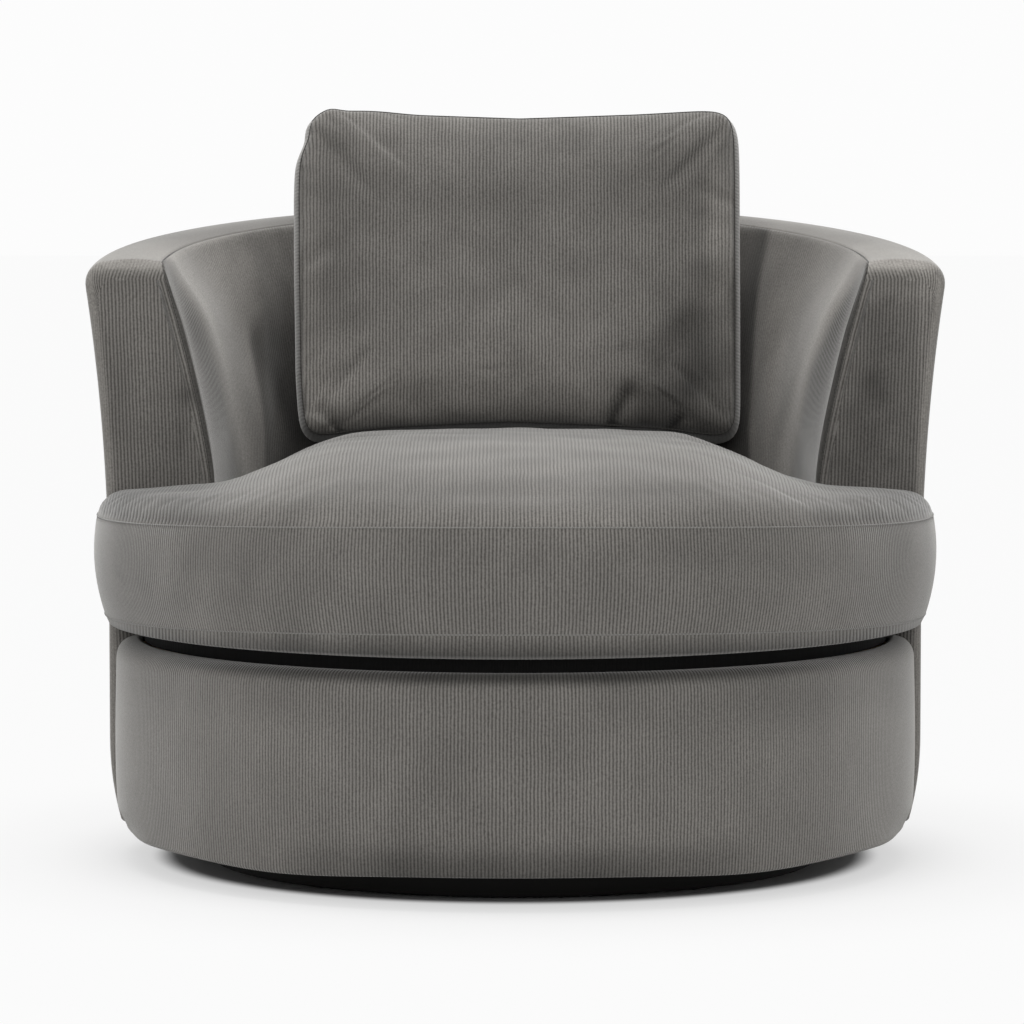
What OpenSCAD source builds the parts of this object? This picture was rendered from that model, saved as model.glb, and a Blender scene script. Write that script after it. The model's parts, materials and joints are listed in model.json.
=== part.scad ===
// Swivel barrel armchair with a loose T-shaped seat cushion and a loose back cushion.
// Millimetres. The origin is on the floor under the swivel axis, -Y is the front, +Z is up.

/* [Shell] */
// Radius of the drum between its tucked bottom edge and the seat
drum_r = 482; // [460:1:500]
// How far the outside leans out between the seat and the arm tops
shell_flare = 33; // [10:1:40]
// Height of the top edge at the arm fronts
arm_h = 703; // [660:1:740]
// Rise of the top edge from the arm fronts to the back, in degrees
top_slope = 7; // [3:0.5:10]
// Rounding of the outer top edge
top_round = 32; // [26:1:40]
// Radius of the seat well at cushion height
well_r = 357; // [335:1:365]
// How far the wall of the well leans out up to the arm tops
well_flare = 66; // [45:1:75]
// Height of the bottom edge of the upholstery
hem_z = 40; // [36:1:44]
// How far the drum draws in at its bottom edge
hem_tuck = 13.5; // [6:0.5:16]
// How far the apron lies inside the drum's radius
apron_inset = 4; // [3:0.5:8]

/* [Upholstery layers] */
// Thickness of the cover cloth
cloth_t = 3; // [2:0.5:4]
// Cloth and wadding together on the outside of the shell
outer_layer = 8; // [5:0.5:10]
// Foam on the inside of the arms and back
inner_foam = 25; // [18:1:28]
// Foam and cloth together on the arm fronts
facing_t = 14; // [10:1:18]
// Foam over the top rail
top_foam = 17; // [12:1:20]
// Foam on the front apron
apron_foam = 8; // [5:0.5:10]
// Foam of the platform under the seat cushion
platform_foam = 20; // [12:1:26]

/* [Frame] */
// Plywood of the boards, ribs and rails
ply_t = 18; // [15:1:20]
// Hardboard that lines the shell inside and out
lining_t = 3; // [2:0.5:4]
// Bent plywood of the front rail
front_ply = 9; // [6:0.5:12]
// Height of the underside of the base board
base_z = 46; // [45:0.5:48]
// Height of the top of the deck rails
deck_z = 258; // [240:1:266]
// Width of the deck rail round the well
rail_w = 78; // [60:1:90]
// Width of the front deck rail and its posts
post_w = 48; // [40:1:60]
// Angle between neighbouring ribs and posts
rib_step = 30; // [20, 30, 36]
// Wire of the zigzag springs
wire_d = 3.8; // [3:0.1:4.5]
// Distance between neighbouring bars of a zigzag spring
spring_pitch = 30; // [26:1:36]
// Width of a zigzag spring
spring_w = 54; // [48:1:60]
// Distance between the zigzag springs
spring_gap = 100; // [90:1:105]

/* [Seat cushion] */
// Radius of the cushion's front at its fullest
seat_front_r = 500; // [485:1:510]
// Height of the lower seam
low_seam = 310; // [304:1:316]
// Height of the upper seam
top_seam = 433; // [420:1:445]
// Rise of the crown above the upper seam
seat_crown = 75; // [50:1:85]
// Bulge of the boxing between its seams
seat_bulge = 8.5; // [4:0.5:12]

/* [Back cushion] */
// Width of the back cushion
back_w = 546; // [500:1:560]
// Height of the back cushion along its lean
back_h = 405; // [380:1:440]
// Width of the gusset halfway up the sides
gusset_w = 100; // [80:1:105]
// Rise of the front crown above the gusset
front_crown = 40; // [25:1:50]
// Rise of the rear crown above the gusset
rear_crown = 60; // [30:1:70]
// Rounding of the corners seen from the front
back_corner = 42; // [30:1:60]
// Lean of the back cushion, in degrees
back_lean = 8; // [4:0.5:11]

/* [Plinth and swivel] */
// Radius of the plinth
plinth_r = 363; // [330:1:400]
// Wall of the plinth's hoop
hoop_t = 12; // [9:1:15]
// Height of the floor glides below the plinth board
glide_h = 3; // [2:0.5:4]
// Side of the square swivel plates
plate_w = 290; // [280:1:300]
// Sheet steel of the swivel plates
plate_t = 3; // [2.5:0.5:4]
// Radius of the ring of balls
race_r = 125; // [105:1:128]
// Diameter of the balls
ball_d = 10; // [8:0.5:11]

/* [Hidden] */
$fn = 144;

cloth_grey = [0.41, 0.40, 0.38];
foam_cream = [0.88, 0.84, 0.70];
ply_tan = [0.76, 0.62, 0.43];
board_brown = [0.45, 0.33, 0.22];
steel_grey = [0.62, 0.63, 0.65];
black = [0.07, 0.07, 0.07];
fibre_white = [0.93, 0.93, 0.91];

big = 4 * drum_r;        // longer than the chair, for cutting
skin_gap = 0.3;          // room between a cushion and what carries it
cushion_gap = 1;         // room between the seat cushion and the arms
fit = 0.2;               // room between frame pieces that meet on a curve
rib_play = 0.4;          // room between the ribs' flat ends and the round linings
steps = 12;              // straight stretches in the seat's crown
side_steps = 8;          // straight stretches in the leaning part of a side
tuck_steps = 4;          // straight stretches in the drawn-in bottom of the drum

// Heights and radii that several pieces share
base_top = base_z + ply_t;
rail_under = deck_z - ply_t;
outer_stack = outer_layer + lining_t;
inner_stack = cloth_t + inner_foam + lining_t;
band_drop = cloth_t + top_foam;      // the top rail's upper face below the top edge
rail_drop = band_drop + ply_t;       // the top rail's lower face below the top edge
flap_over = 4;                       // the top band's outer flap reaches below the top rail
flap_drop = rail_drop + flap_over;
cut_spare = 10;                      // sections rise this far past the sloped top
highest_z = arm_h + 1.2 * drum_r * tan(top_slope) + cut_spare;
apron_r = drum_r - apron_inset;
front_in_r = apron_r - cloth_t - apron_foam - front_ply;
rail_out_r = well_r + inner_stack;
rail_in_r = rail_out_r - rail_w;

// The drum's side draws in below tuck_top and leans out above flare_z
tuck_h = 90;
tuck_top = hem_z + tuck_h;
flare_z = 200;
flare_power = 2.2;
function shell_curve(z) =
  z < tuck_top ? drum_r - hem_tuck * pow((tuck_top - z) / (tuck_top - hem_z), flare_power)
  : z < flare_z ? drum_r
  : drum_r + shell_flare * pow((z - flare_z) / (arm_h - flare_z), flare_power);

// The well's wall is upright beside the cushion and leans out above it
well_low = 13;           // the wall starts to lean this far below the cushion's upper seam
well_flare_z = top_seam - well_low;
well_power = 1.15;
function well_curve(z) =
  z < well_flare_z ? well_r
  : well_r + well_flare * pow((z - well_flare_z) / (arm_h - well_flare_z), well_power);

// Every layer turns at the same heights, so that each lies close on the next
function spread(z0, z1, count) = [for (i = [0:count - 1]) z0 + (z1 - z0) * i / count];
shell_line = [
  for (z = concat(spread(hem_z, tuck_top, tuck_steps), [tuck_top],
                  spread(flare_z, highest_z, side_steps), [highest_z])) [z, shell_curve(z)]
];
well_line = [
  for (z = concat([0], spread(well_flare_z, highest_z, side_steps), [highest_z]))
    [z, well_curve(z)]
];
function shell_at(z) = lookup(z, shell_line);
function well_at(z) = lookup(z, well_line);
function heights(line, z0, z1) =
  concat([z0], [for (p = line) if (p[0] > z0 && p[0] < z1) p[0]], [z1]);
function reversed(list) = [for (i = [len(list) - 1:-1:0]) list[i]];

function shell_side(inset, z0, z1) =
  [for (z = heights(shell_line, z0, z1)) [shell_at(z) - inset, z]];
function well_side(inset, z0, z1) =
  reversed([for (z = heights(well_line, z0, z1)) [well_at(z) + inset, z]]);
function arc(cx, cy, r, a0, a1, n = 6) =
  [for (i = [0:n]) let (a = a0 + (a1 - a0) * i / n) [cx + r * cos(a), cy + r * sin(a)]];

base_r = min(front_in_r, shell_at(base_z) - outer_stack);

// Half rings: the section stands in the X-Z plane and turns round the swivel axis
module back_half(section) { rotate_extrude(angle = 180) polygon(section); }
module front_half(section) { rotate([0, 0, 180]) back_half(section); }

// Everything below the sloped top edge, less a drop measured square to it
module under_top(drop) {
  intersection() {
    children();
    translate([0, 0, arm_h]) rotate([top_slope, 0, 0])
      translate([-big, -big, -2 * big - drop]) cube([2 * big, 2 * big, 2 * big]);
  }
}

module behind(y) {
  intersection() {
    children();
    translate([-big, y, -big]) cube([2 * big, big, 2 * big]);
  }
}

module between_z(z0, z1) {
  intersection() {
    children();
    translate([-big, -big, z0]) cube([2 * big, 2 * big, z1 - z0]);
  }
}

// The same piece at each of the angles, turned round the swivel axis
module at_angles(angles) { for (a = angles) rotate([0, 0, a]) children(); }
rib_angles = [rib_step:rib_step:180 - rib_step];
post_angles = [180 + rib_step / 2:rib_step:360 - rib_step / 2];

// ---------------------------------------------------------------- plinth

board_z = glide_h;
plinth_ply = 18;
plate_z = board_z + plinth_ply;
glide_r = 15;
glide_edge = 60;                     // from the plinth's edge to the ring of glides
glide_ring = plinth_r - glide_edge;
nail_r = 1.6;
nail_len = 12;
glide_count = 6;

module glide_places() {
  children();
  for (i = [0:glide_count - 1])
    rotate([0, 0, (i + 0.5) * 360 / glide_count]) translate([glide_ring, 0, 0]) children();
}

module floor_glides() {
  color(black) glide_places() {
    cylinder(r = glide_r, h = glide_h);
    cylinder(r = nail_r, h = glide_h + nail_len);
  }
}

bolt_r = 4;
bolt_head_r = 7;
bolt_head_h = 5;
hole_play = 0.3;
bolt_edge = 22;                      // from a plate's side to its bolts
bolt_place = plate_w / 2 - bolt_edge;
bolt_play = 0.05;
bolt_short = 4;                      // a bolt ends this far inside its board
nut_flange_r = 11;
nut_flange_h = 2;
nut_barrel_r = 5.2;
nut_barrel_h = 9;

module corner_places() {
  for (x = [-1, 1], y = [-1, 1]) translate([x * bolt_place, y * bolt_place, 0]) children();
}

// A tee nut lies flange down at z = 0, bored for the bolt
module tee_nut() {
  difference() {
    union() {
      cylinder(r = nut_flange_r, h = nut_flange_h);
      cylinder(r = nut_barrel_r, h = nut_barrel_h + nut_flange_h);
    }
    translate([0, 0, -1]) cylinder(r = bolt_r + bolt_play, h = nut_barrel_h + nut_flange_h + 2);
  }
}

// The room that a tee nut and its bolt take in a board, flange face at z = 0
module tee_nut_pocket(through) {
  translate([0, 0, -1]) cylinder(r = nut_flange_r + fit, h = nut_flange_h + 1);
  translate([0, 0, -1]) cylinder(r = nut_barrel_r, h = nut_barrel_h + nut_flange_h + 1);
  translate([0, 0, -1]) cylinder(r = bolt_r + hole_play, h = through + 2);
}

// A bolt hangs from the underside of its head at z = 0
module bolt(length) {
  cylinder(r = bolt_head_r, h = bolt_head_h);
  translate([0, 0, -length]) cylinder(r = bolt_r, h = length + bolt_head_h / 2);
}

module plinth_board() {
  color(black) difference() {
    translate([0, 0, board_z]) cylinder(r = plinth_r - hoop_t, h = plinth_ply);
    glide_places() cylinder(r = nail_r, h = glide_h + nail_len);
    translate([0, 0, board_z]) corner_places() tee_nut_pocket(plinth_ply);
  }
}

hoop_clear = 8;                      // room for the hoop to turn under the drum
hoop_top = base_z - hoop_clear;

module plinth_hoop() {
  color(black) translate([0, 0, board_z]) difference() {
    cylinder(r = plinth_r, h = hoop_top - board_z);
    translate([0, 0, -1]) cylinder(r = plinth_r - hoop_t, h = hoop_top);
  }
}

module lower_tee_nuts() {
  color(steel_grey) translate([0, 0, board_z]) corner_places() tee_nut();
}

module lower_plate_bolts() {
  color(steel_grey) translate([0, 0, plate_z + plate_t]) corner_places()
    bolt(plate_t + plinth_ply - bolt_short);
}

// ---------------------------------------------------------------- swivel

race_w = 13;                         // radial width of a race ring
race_lip = 1.2;                      // running gap between the two rings
race_clear = 3.5;                    // a ring stays this far from the other ring's plate
ball_play = 0.15;
groove_r = ball_d / 2 + ball_play;
lower_face = plate_z + plate_t;
upper_face = base_z - plate_t;
ball_z = (lower_face + upper_face) / 2;
ball_count = 30;

module swivel_plate() {
  difference() {
    translate([-plate_w / 2, -plate_w / 2, 0]) cube([plate_w, plate_w, plate_t]);
    translate([0, 0, -1]) corner_places() cylinder(r = bolt_r + hole_play, h = plate_t + 2);
  }
}

module swivel_lower_plate() { color(steel_grey) translate([0, 0, plate_z]) swivel_plate(); }
module swivel_upper_plate() { color(steel_grey) translate([0, 0, upper_face]) swivel_plate(); }

module race_ring(r0, r1, z0, z1) {
  rotate_extrude() difference() {
    translate([r0, z0]) square([r1 - r0, z1 - z0]);
    translate([race_r, ball_z]) circle(r = groove_r);
  }
}

module inner_race() {
  color(steel_grey) race_ring(race_r - race_w, race_r - race_lip / 2, lower_face,
                              upper_face - race_clear);
}

module outer_race() {
  color(steel_grey) race_ring(race_r + race_lip / 2, race_r + race_w, lower_face + race_clear,
                              upper_face);
}

module race_balls() {
  color(steel_grey) for (i = [0:ball_count - 1])
    rotate([0, 0, i * 360 / ball_count]) translate([race_r, 0, ball_z])
      sphere(r = ball_d / 2, $fn = 48);
}

module upper_plate_bolts() {
  color(steel_grey) translate([0, 0, upper_face]) mirror([0, 0, 1]) corner_places()
    bolt(plate_t + ply_t - bolt_short);
}

module upper_tee_nuts() {
  color(steel_grey) translate([0, 0, base_top]) mirror([0, 0, 1]) corner_places() tee_nut();
}

// ---------------------------------------------------------------- wooden frame

screw_r = 2.5;
screw_head_r = 4.5;
screw_head_h = 3;
screw_bite = 26;                     // a screw goes this far into the piece that it holds
screw_len = ply_t + screw_bite;
rib_screw_out = 20;                  // from the deck rail's outer edge to a rib's screw
rib_screw_r = rail_out_r + rib_screw_out;
rail_screw_r = rail_in_r + rail_w / 2;
post_screw_r = base_r - post_w / 2;
panel_y = facing_t + ply_t / 2;

// A countersunk wood screw stands on its head at z = 0
module screw() {
  cylinder(r1 = screw_head_r, r2 = screw_r, h = screw_head_h);
  cylinder(r = screw_r, h = screw_len);
}

module base_screw_places() {
  at_angles(rib_angles) translate([rib_screw_r, 0, 0]) children();
  at_angles(post_angles) translate([post_screw_r, 0, 0]) children();
  for (side = [-1, 1]) translate([side * rib_screw_r, panel_y, 0]) children();
}

module rail_screw_places() {
  at_angles(rib_angles) translate([rail_screw_r, 0, 0]) children();
  at_angles(post_angles) translate([post_screw_r, 0, 0]) children();
}

module base_screws() { color(steel_grey) translate([0, 0, base_z]) base_screw_places() screw(); }

module rail_screws() {
  color(steel_grey) translate([0, 0, deck_z]) mirror([0, 0, 1]) rail_screw_places() screw();
}

module screw_holes() {
  translate([0, 0, base_z]) base_screw_places() screw();
  translate([0, 0, deck_z]) mirror([0, 0, 1]) rail_screw_places() screw();
}

module base_board() {
  color(ply_tan) difference() {
    translate([0, 0, base_z]) cylinder(r = base_r, h = ply_t);
    translate([0, 0, base_top]) mirror([0, 0, 1]) corner_places() tee_nut_pocket(ply_t);
    screw_holes();
  }
}

hem_reach = 25;          // how far the covers turn in under the base board
dust_cloth = 1.5;
dust_hole_r = 0.75 * plate_w;        // clears the corners of the swivel plate
dust_edge = 1;                       // room between the dust cover and the turned-in covers

module dust_cover() {
  color(black) translate([0, 0, base_z - dust_cloth]) difference() {
    cylinder(r = base_r - hem_reach - dust_edge, h = dust_cloth);
    translate([0, 0, -1]) cylinder(r = dust_hole_r, h = dust_cloth + 2);
  }
}

// Section of a rib: wide below the deck rail, slim between the two linings above it
rib_section = concat(
  [[rail_in_r, base_top]],
  shell_side(outer_stack + rib_play, base_top, highest_z),
  well_side(inner_stack + rib_play, rail_under, highest_z),
  [[rail_in_r, rail_under]]
);

module arm_panel() {
  color(ply_tan) difference() {
    under_top(rail_drop) intersection() {
      back_half(rib_section);
      translate([0, facing_t, 0]) cube([big, ply_t, big]);
    }
    screw_holes();
  }
}

module arm_panel_right() { arm_panel(); }
module arm_panel_left() { mirror([1, 0, 0]) arm_panel(); }

module back_ribs() {
  color(ply_tan) difference() {
    under_top(rail_drop) at_angles(rib_angles) rotate([90, 0, 0])
      linear_extrude(ply_t, center = true) polygon(rib_section);
    screw_holes();
  }
}

module deck_rail() {
  color(ply_tan) difference() {
    behind(facing_t + ply_t) translate([0, 0, rail_under]) difference() {
      cylinder(r = rail_out_r, h = ply_t);
      translate([0, 0, -1]) cylinder(r = rail_in_r, h = ply_t + 2);
    }
    screw_holes();
  }
}

module front_deck_rail() {
  color(ply_tan) difference() {
    translate([0, 0, rail_under]) difference() {
      cylinder(r = base_r, h = ply_t);
      translate([0, 0, -1]) cylinder(r = base_r - post_w, h = ply_t + 2);
      translate([-big, facing_t, -1]) cube([2 * big, big, ply_t + 2]);
    }
    screw_holes();
  }
}

module front_posts() {
  color(ply_tan) difference() {
    at_angles(post_angles) translate([base_r - post_w, -ply_t / 2, base_top])
      cube([post_w - fit, ply_t, rail_under - base_top]);
    screw_holes();
  }
}

module front_board() {
  color(ply_tan) front_half([
    [front_in_r, base_z], [front_in_r + front_ply, base_z],
    [front_in_r + front_ply, deck_z], [front_in_r, deck_z]
  ]);
}

// The top edge lies on a tilted circle. Its centre moves back so that it meets the shell's side
// at the arm fronts and at the back.
top_out = shell_at(arm_h - top_round);
top_in = well_at(arm_h);
back_out = shell_at(arm_h - top_round + top_out * tan(top_slope)) / cos(top_slope);
back_in = well_at(arm_h + top_in * tan(top_slope)) / cos(top_slope);
top_shift = (back_out - top_out * top_out / back_out + back_in - top_in * top_in / back_in) / 4;
top_rho = sqrt(top_out * top_out + top_shift * top_shift);
top_rho_in = sqrt(top_in * top_in + top_shift * top_shift);
shell_lean = 0.14;       // how fast the side draws in below the top edge's rounding

module tilted_top() {
  translate([0, 0, arm_h]) rotate([top_slope, 0, 0]) translate([0, top_shift, 0]) children();
}

module top_rail() {
  color(ply_tan) behind(facing_t) tilted_top() translate([0, 0, -rail_drop]) difference() {
    cylinder(r = top_rho - outer_stack, h = ply_t);
    translate([0, 0, -1]) cylinder(r = top_rho_in + inner_stack, h = ply_t + 2);
  }
}

module outer_board() {
  color(board_brown) under_top(flap_drop) behind(facing_t) back_half(concat(
    shell_side(outer_layer, base_z, highest_z),
    reversed(shell_side(outer_stack, base_z, highest_z))
  ));
}

// A layer of the well's wall between two depths behind its face
module well_layer(from, to, drop) {
  under_top(drop) behind(facing_t) back_half(concat(
    reversed(well_side(to, deck_z, highest_z)), well_side(from, deck_z, highest_z)
  ));
}

module inner_board() {
  color(board_brown) well_layer(cloth_t + inner_foam, inner_stack, rail_drop);
}

// ---------------------------------------------------------------- springs and platform

bend_r = spring_pitch / 2;
bar_half = spring_w / 2 - bend_r;
seat_springs = 6;
clip_w = 24;
clip_d = 11;
clip_h = wire_d + 2;
fold_reach = 14;                     // the apron's fold covers this much of the deck rail
fold_in_r = base_r - fold_reach;
fold_clear = 4;                      // room between the fold and the platform
front_clip_r = fold_in_r - norm([clip_w, clip_d]) / 2 - fit;
rear_clip_r = rail_in_r + clip_d;

function spring_x(i) = (i - (seat_springs - 1) / 2) * spring_gap;
function spring_front(i) = -sqrt(pow(front_clip_r, 2) - pow(spring_x(i), 2));
function spring_back(i) = sqrt(pow(rear_clip_r, 2) - pow(spring_x(i), 2));
function bar_count(i) = round((spring_back(i) - spring_front(i)) / spring_pitch);
function bar_pitch(i) = (spring_back(i) - spring_front(i)) / bar_count(i);

// One side of the wire's outline. It runs inside the bends at one end of the bars and outside at
// the other.
function wire_side(bars, pitch, offset) = [
  for (k = [0:bars - 1]) let (side = k % 2 == 0 ? 1 : -1)
    each arc(side * bar_half, (k + 0.5) * pitch, pitch / 2 - side * offset, -90,
             side > 0 ? 90 : -270)
];

// Bars across the seat, joined by half-round bends at alternate sides
module zigzag_spring(bars, pitch) {
  half = wire_d / 2;
  last_way = bars % 2 == 0 ? 1 : -1;
  linear_extrude(wire_d) polygon(concat(
    [[-bar_half, half]], wire_side(bars, pitch, half),
    [[last_way * bar_half, bars * pitch + last_way * half],
     [last_way * bar_half, bars * pitch - last_way * half]],
    reversed(wire_side(bars, pitch, -half)), [[-bar_half, -half]]
  ));
}

module zigzag_springs() {
  color(steel_grey) for (i = [0:seat_springs - 1])
    translate([spring_x(i), spring_front(i), deck_z])
      zigzag_spring(bar_count(i), bar_pitch(i));
}

// A clip is a bent strap nailed to the rail over the last bar
module spring_clip() {
  difference() {
    translate([-clip_w / 2, -clip_d / 2, 0]) cube([clip_w, clip_d, clip_h]);
    translate([-clip_w, -wire_d / 2 - fit, -1])
      cube([2 * clip_w, wire_d + 2 * fit, wire_d + fit + 1]);
  }
}

module spring_clips() {
  color(steel_grey) for (i = [0:seat_springs - 1], y = [spring_front(i), spring_back(i)])
    translate([spring_x(i), y, deck_z]) spring_clip();
}

spring_cloth_t = 1.5;
spring_top = deck_z + clip_h;
platform_z = spring_top + spring_cloth_t;
platform_top = platform_z + platform_foam;
deck_top = platform_top + cloth_t;
deck_front_r = fold_in_r - fold_clear;

// A layer of the platform: a wide half disc in front of the arms, a narrower disc between them
module deck_layer(z0, z1, front_r) {
  translate([0, 0, z0]) {
    cylinder(r = well_r - fit, h = z1 - z0);
    difference() {
      cylinder(r = front_r, h = z1 - z0);
      translate([-big, -fit, -1]) cube([2 * big, big, z1 - z0 + 2]);
    }
  }
}

module spring_cloth() { color(board_brown) deck_layer(spring_top, platform_z, deck_front_r); }
module platform_pad() { color(foam_cream) deck_layer(platform_z, platform_top, deck_front_r); }
module platform_cover() { color(black) deck_layer(platform_top, deck_top, deck_front_r); }

// ---------------------------------------------------------------- upholstery on the shell

module inner_pad() { color(foam_cream) well_layer(cloth_t, cloth_t + inner_foam, band_drop); }
module inner_cover() { color(cloth_grey) well_layer(0, cloth_t, cloth_t); }

module outer_cover() {
  color(cloth_grey) under_top(flap_drop) behind(facing_t) back_half(concat(
    [[base_r - hem_reach, hem_z]], shell_side(0, hem_z, highest_z),
    reversed(shell_side(outer_layer, base_z, highest_z)), [[base_r - hem_reach, base_z]]
  ));
}

// Section of the top edge in the tilted frame, less an inset all round
function top_section(inset) = concat(
  [[top_rho_in + 2 * inset, -inset]],
  arc(top_rho - top_round, -top_round, top_round - inset, 90, 0),
  [[top_rho - inset - (flap_drop - top_round) * shell_lean, -flap_drop]]
);

module top_band() {
  color(cloth_grey) behind(facing_t) tilted_top() rotate_extrude() difference() {
    polygon(concat(top_section(0), [[top_rho_in, -flap_drop]]));
    polygon(concat(top_section(cloth_t), [
      [top_rho - top_round, -2 * flap_drop], [top_rho_in - top_round, -2 * flap_drop],
      [top_rho_in - top_round, -cloth_t]
    ]));
    translate([0, -2 * flap_drop]) square([top_rho - top_round, 2 * flap_drop - cloth_t]);
  }
}

module top_pad() {
  color(foam_cream) behind(facing_t) tilted_top() rotate_extrude() difference() {
    polygon(concat(top_section(cloth_t), [[top_rho_in + 2 * cloth_t, -flap_drop]]));
    translate([0, -2 * flap_drop])
      square([top_rho - outer_stack, 2 * flap_drop - band_drop]);
  }
}

facing_clear = 1;        // the arm facings stay this far outside the front board's inner face
facing_low_r = front_in_r + facing_clear;

module arm_facing() {
  corner_r = shell_at(arm_h - top_round) - top_round;
  color(cloth_grey) translate([0, facing_t, 0]) rotate([90, 0, 0])
    linear_extrude(facing_t) polygon(concat(
      [[facing_low_r, hem_z]],
      shell_side(0, hem_z, arm_h - top_round),
      arc(corner_r, arm_h - top_round, top_round, 10, 90),
      well_side(0, deck_z, arm_h),
      [[facing_low_r, deck_z]]
    ));
}

module arm_facing_right() { arm_facing(); }
module arm_facing_left() { mirror([1, 0, 0]) arm_facing(); }

apron_round = 14;        // rounding of the apron's upper edge
fold_h = 5;              // foam over the front board's upper edge
apron_top = deck_z + fold_h + cloth_t;
apron_foot = 6;          // rounding of the apron's lower edge

module apron_pad() {
  foam_r = apron_r - cloth_t;
  color(foam_cream) front_half(concat(
    [[foam_r - apron_foam, base_z], [foam_r, base_z]],
    arc(apron_r - apron_round, apron_top - apron_round, apron_round - cloth_t, 0, 90),
    [[fold_in_r, deck_z + fold_h], [fold_in_r, deck_z], [foam_r - apron_foam, deck_z]]
  ));
}

module apron_cover() {
  foam_r = apron_r - cloth_t;
  color(cloth_grey) front_half(concat(
    [[base_r - hem_reach, hem_z]],
    arc(apron_r - apron_foot, hem_z + apron_foot, apron_foot, -90, 0, 3),
    arc(apron_r - apron_round, apron_top - apron_round, apron_round, 0, 90),
    [[fold_in_r, apron_top], [fold_in_r, deck_z + fold_h]],
    arc(apron_r - apron_round, apron_top - apron_round, apron_round - cloth_t, 90, 0),
    [[foam_r, base_z], [base_r - hem_reach, base_z]]
  ));
}

// ---------------------------------------------------------------- seat cushion

seat_z = deck_top + skin_gap;
seat_rear_r = well_r - cushion_gap;
dome_y = -0.12 * seat_front_r;       // the crown's highest place
dome_r = 0.84 * seat_front_r;        // the crown meets the seam's height here
dome_power = 2.6;
saddle_half = 1.04 * well_r;         // the crown falls to the seam's height beside the arms
saddle_power = 2.4;
wing_drop = 10;                      // the wings' tips lie this far below the upper seam
seat_foot = 34;                      // how far the underside draws in from the front
seat_top_split = top_seam - wing_drop - cloth_t;

function dome_at(rho) =
  top_seam + max(-wing_drop, seat_crown * (1 - pow(rho / dome_r, dome_power)));
function saddle_at(x) =
  top_seam + max(0, seat_crown * (1 - pow(abs(x) / saddle_half, saddle_power)));

// The crown: round from front to back, and lower still beside the arms
module seat_dome(inset) {
  reach = 1.3 * seat_front_r;
  intersection() {
    translate([0, dome_y, 0]) rotate_extrude() polygon(concat(
      [[0, 0], [reach, 0]],
      [for (i = [steps:-1:0]) let (rho = reach * i / steps) [rho, dome_at(rho) - inset]]
    ));
    translate([0, reach, 0]) rotate([90, 0, 0]) linear_extrude(2 * reach) polygon(concat(
      [[-reach, 0], [reach, 0], [reach, top_seam - inset]],
      [for (i = [steps:-1:-steps]) let (x = saddle_half * i / steps) [x, saddle_at(x) - inset]],
      [[-reach, top_seam - inset]]
    ));
  }
}

function boxing_side(inset) = [
  for (i = [0:6]) let (u = i / 6)
    [seat_front_r - inset - seat_bulge * pow(2 * u - 1, 2), low_seam + (top_seam - low_seam) * u]
];

// The whole cushion, less an inset all round
module seat_block(inset) {
  top = top_seam + 4 * seat_crown;
  foot = low_seam - seat_z;
  intersection() {
    union() {
      translate([0, 0, seat_z + inset]) cylinder(r = seat_rear_r - inset, h = top);
      difference() {
        rotate_extrude() polygon(concat(
          [[0, seat_z + inset], [seat_front_r - seat_foot - inset, seat_z + inset],
           [seat_front_r - seat_foot / 2 - inset, seat_z + inset + foot / 3]],
          boxing_side(inset), [[0, top]]
        ));
        translate([-big, -cushion_gap - inset, -1]) cube([2 * big, big, 2 * top]);
      }
    }
    seat_dome(inset);
  }
}

seat_zip_w = 400;
zip_h = 16;
zip_z = (low_seam + top_seam) / 2;

module seat_zip_zone() {
  translate([-seat_zip_w / 2, 0, zip_z - zip_h / 2]) cube([seat_zip_w, big, zip_h]);
}

module seat_foam() { color(foam_cream) seat_block(cloth_t); }

module seat_skin(z0, z1) {
  difference() {
    between_z(z0, z1) seat_block(0);
    seat_block(cloth_t);
  }
}

module seat_top_panel() { color(cloth_grey) seat_skin(seat_top_split, 2 * top_seam); }
module seat_bottom_panel() { color(cloth_grey) seat_skin(0, low_seam); }

module seat_boxing() {
  color(cloth_grey) difference() {
    seat_skin(low_seam, seat_top_split);
    seat_zip_zone();
  }
}

module seat_zip() {
  color(black) intersection() {
    seat_skin(low_seam, seat_top_split);
    seat_zip_zone();
  }
}

// ---------------------------------------------------------------- back cushion

back_raise = 42;         // the cushion's lower edge lies this far above the seat's upper seam
back_slack = 22;         // room between the cushion's rear and the wall of the well
seam_inset = 8;          // the seams lie this far inside the gusset's full width
back_z = top_seam + back_raise;
back_wall_y = sqrt(pow(well_at(back_z + back_h / 3), 2) - pow(back_w / 2, 2));
back_y = back_wall_y - gusset_w / 2 - (back_h / 3) * sin(back_lean) - back_slack;

function cap_radius(crown) = (pow(back_w / 2, 2) + crown * crown) / (2 * crown);

// Rounded outline of the cushion, seen from the front
module back_outline(inset) {
  w = back_w - 2 * inset;
  h = back_h - 2 * inset;
  r = back_corner - inset;
  translate([-w / 2, inset]) {
    translate([r, 0]) square([w - 2 * r, h]);
    translate([0, r]) square([w, h - 2 * r]);
    for (x = [r, w - r], z = [r, h - r]) translate([x, z]) circle(r = r);
  }
}

module back_place() {
  translate([0, back_y, back_z]) rotate([-back_lean, 0, 0]) children();
}

// The whole cushion in its own frame, less an inset all round
module back_lens(inset) {
  front_cap = cap_radius(front_crown);
  rear_cap = cap_radius(rear_crown);
  mid = back_h / 2;
  intersection() {
    translate([0, big / 2, 0]) rotate([90, 0, 0]) linear_extrude(big) back_outline(inset);
    translate([0, front_cap - gusset_w / 2 - front_crown, mid]) sphere(r = front_cap - inset);
    translate([0, gusset_w / 2 + rear_crown - rear_cap, mid]) sphere(r = rear_cap - inset);
  }
}

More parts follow.
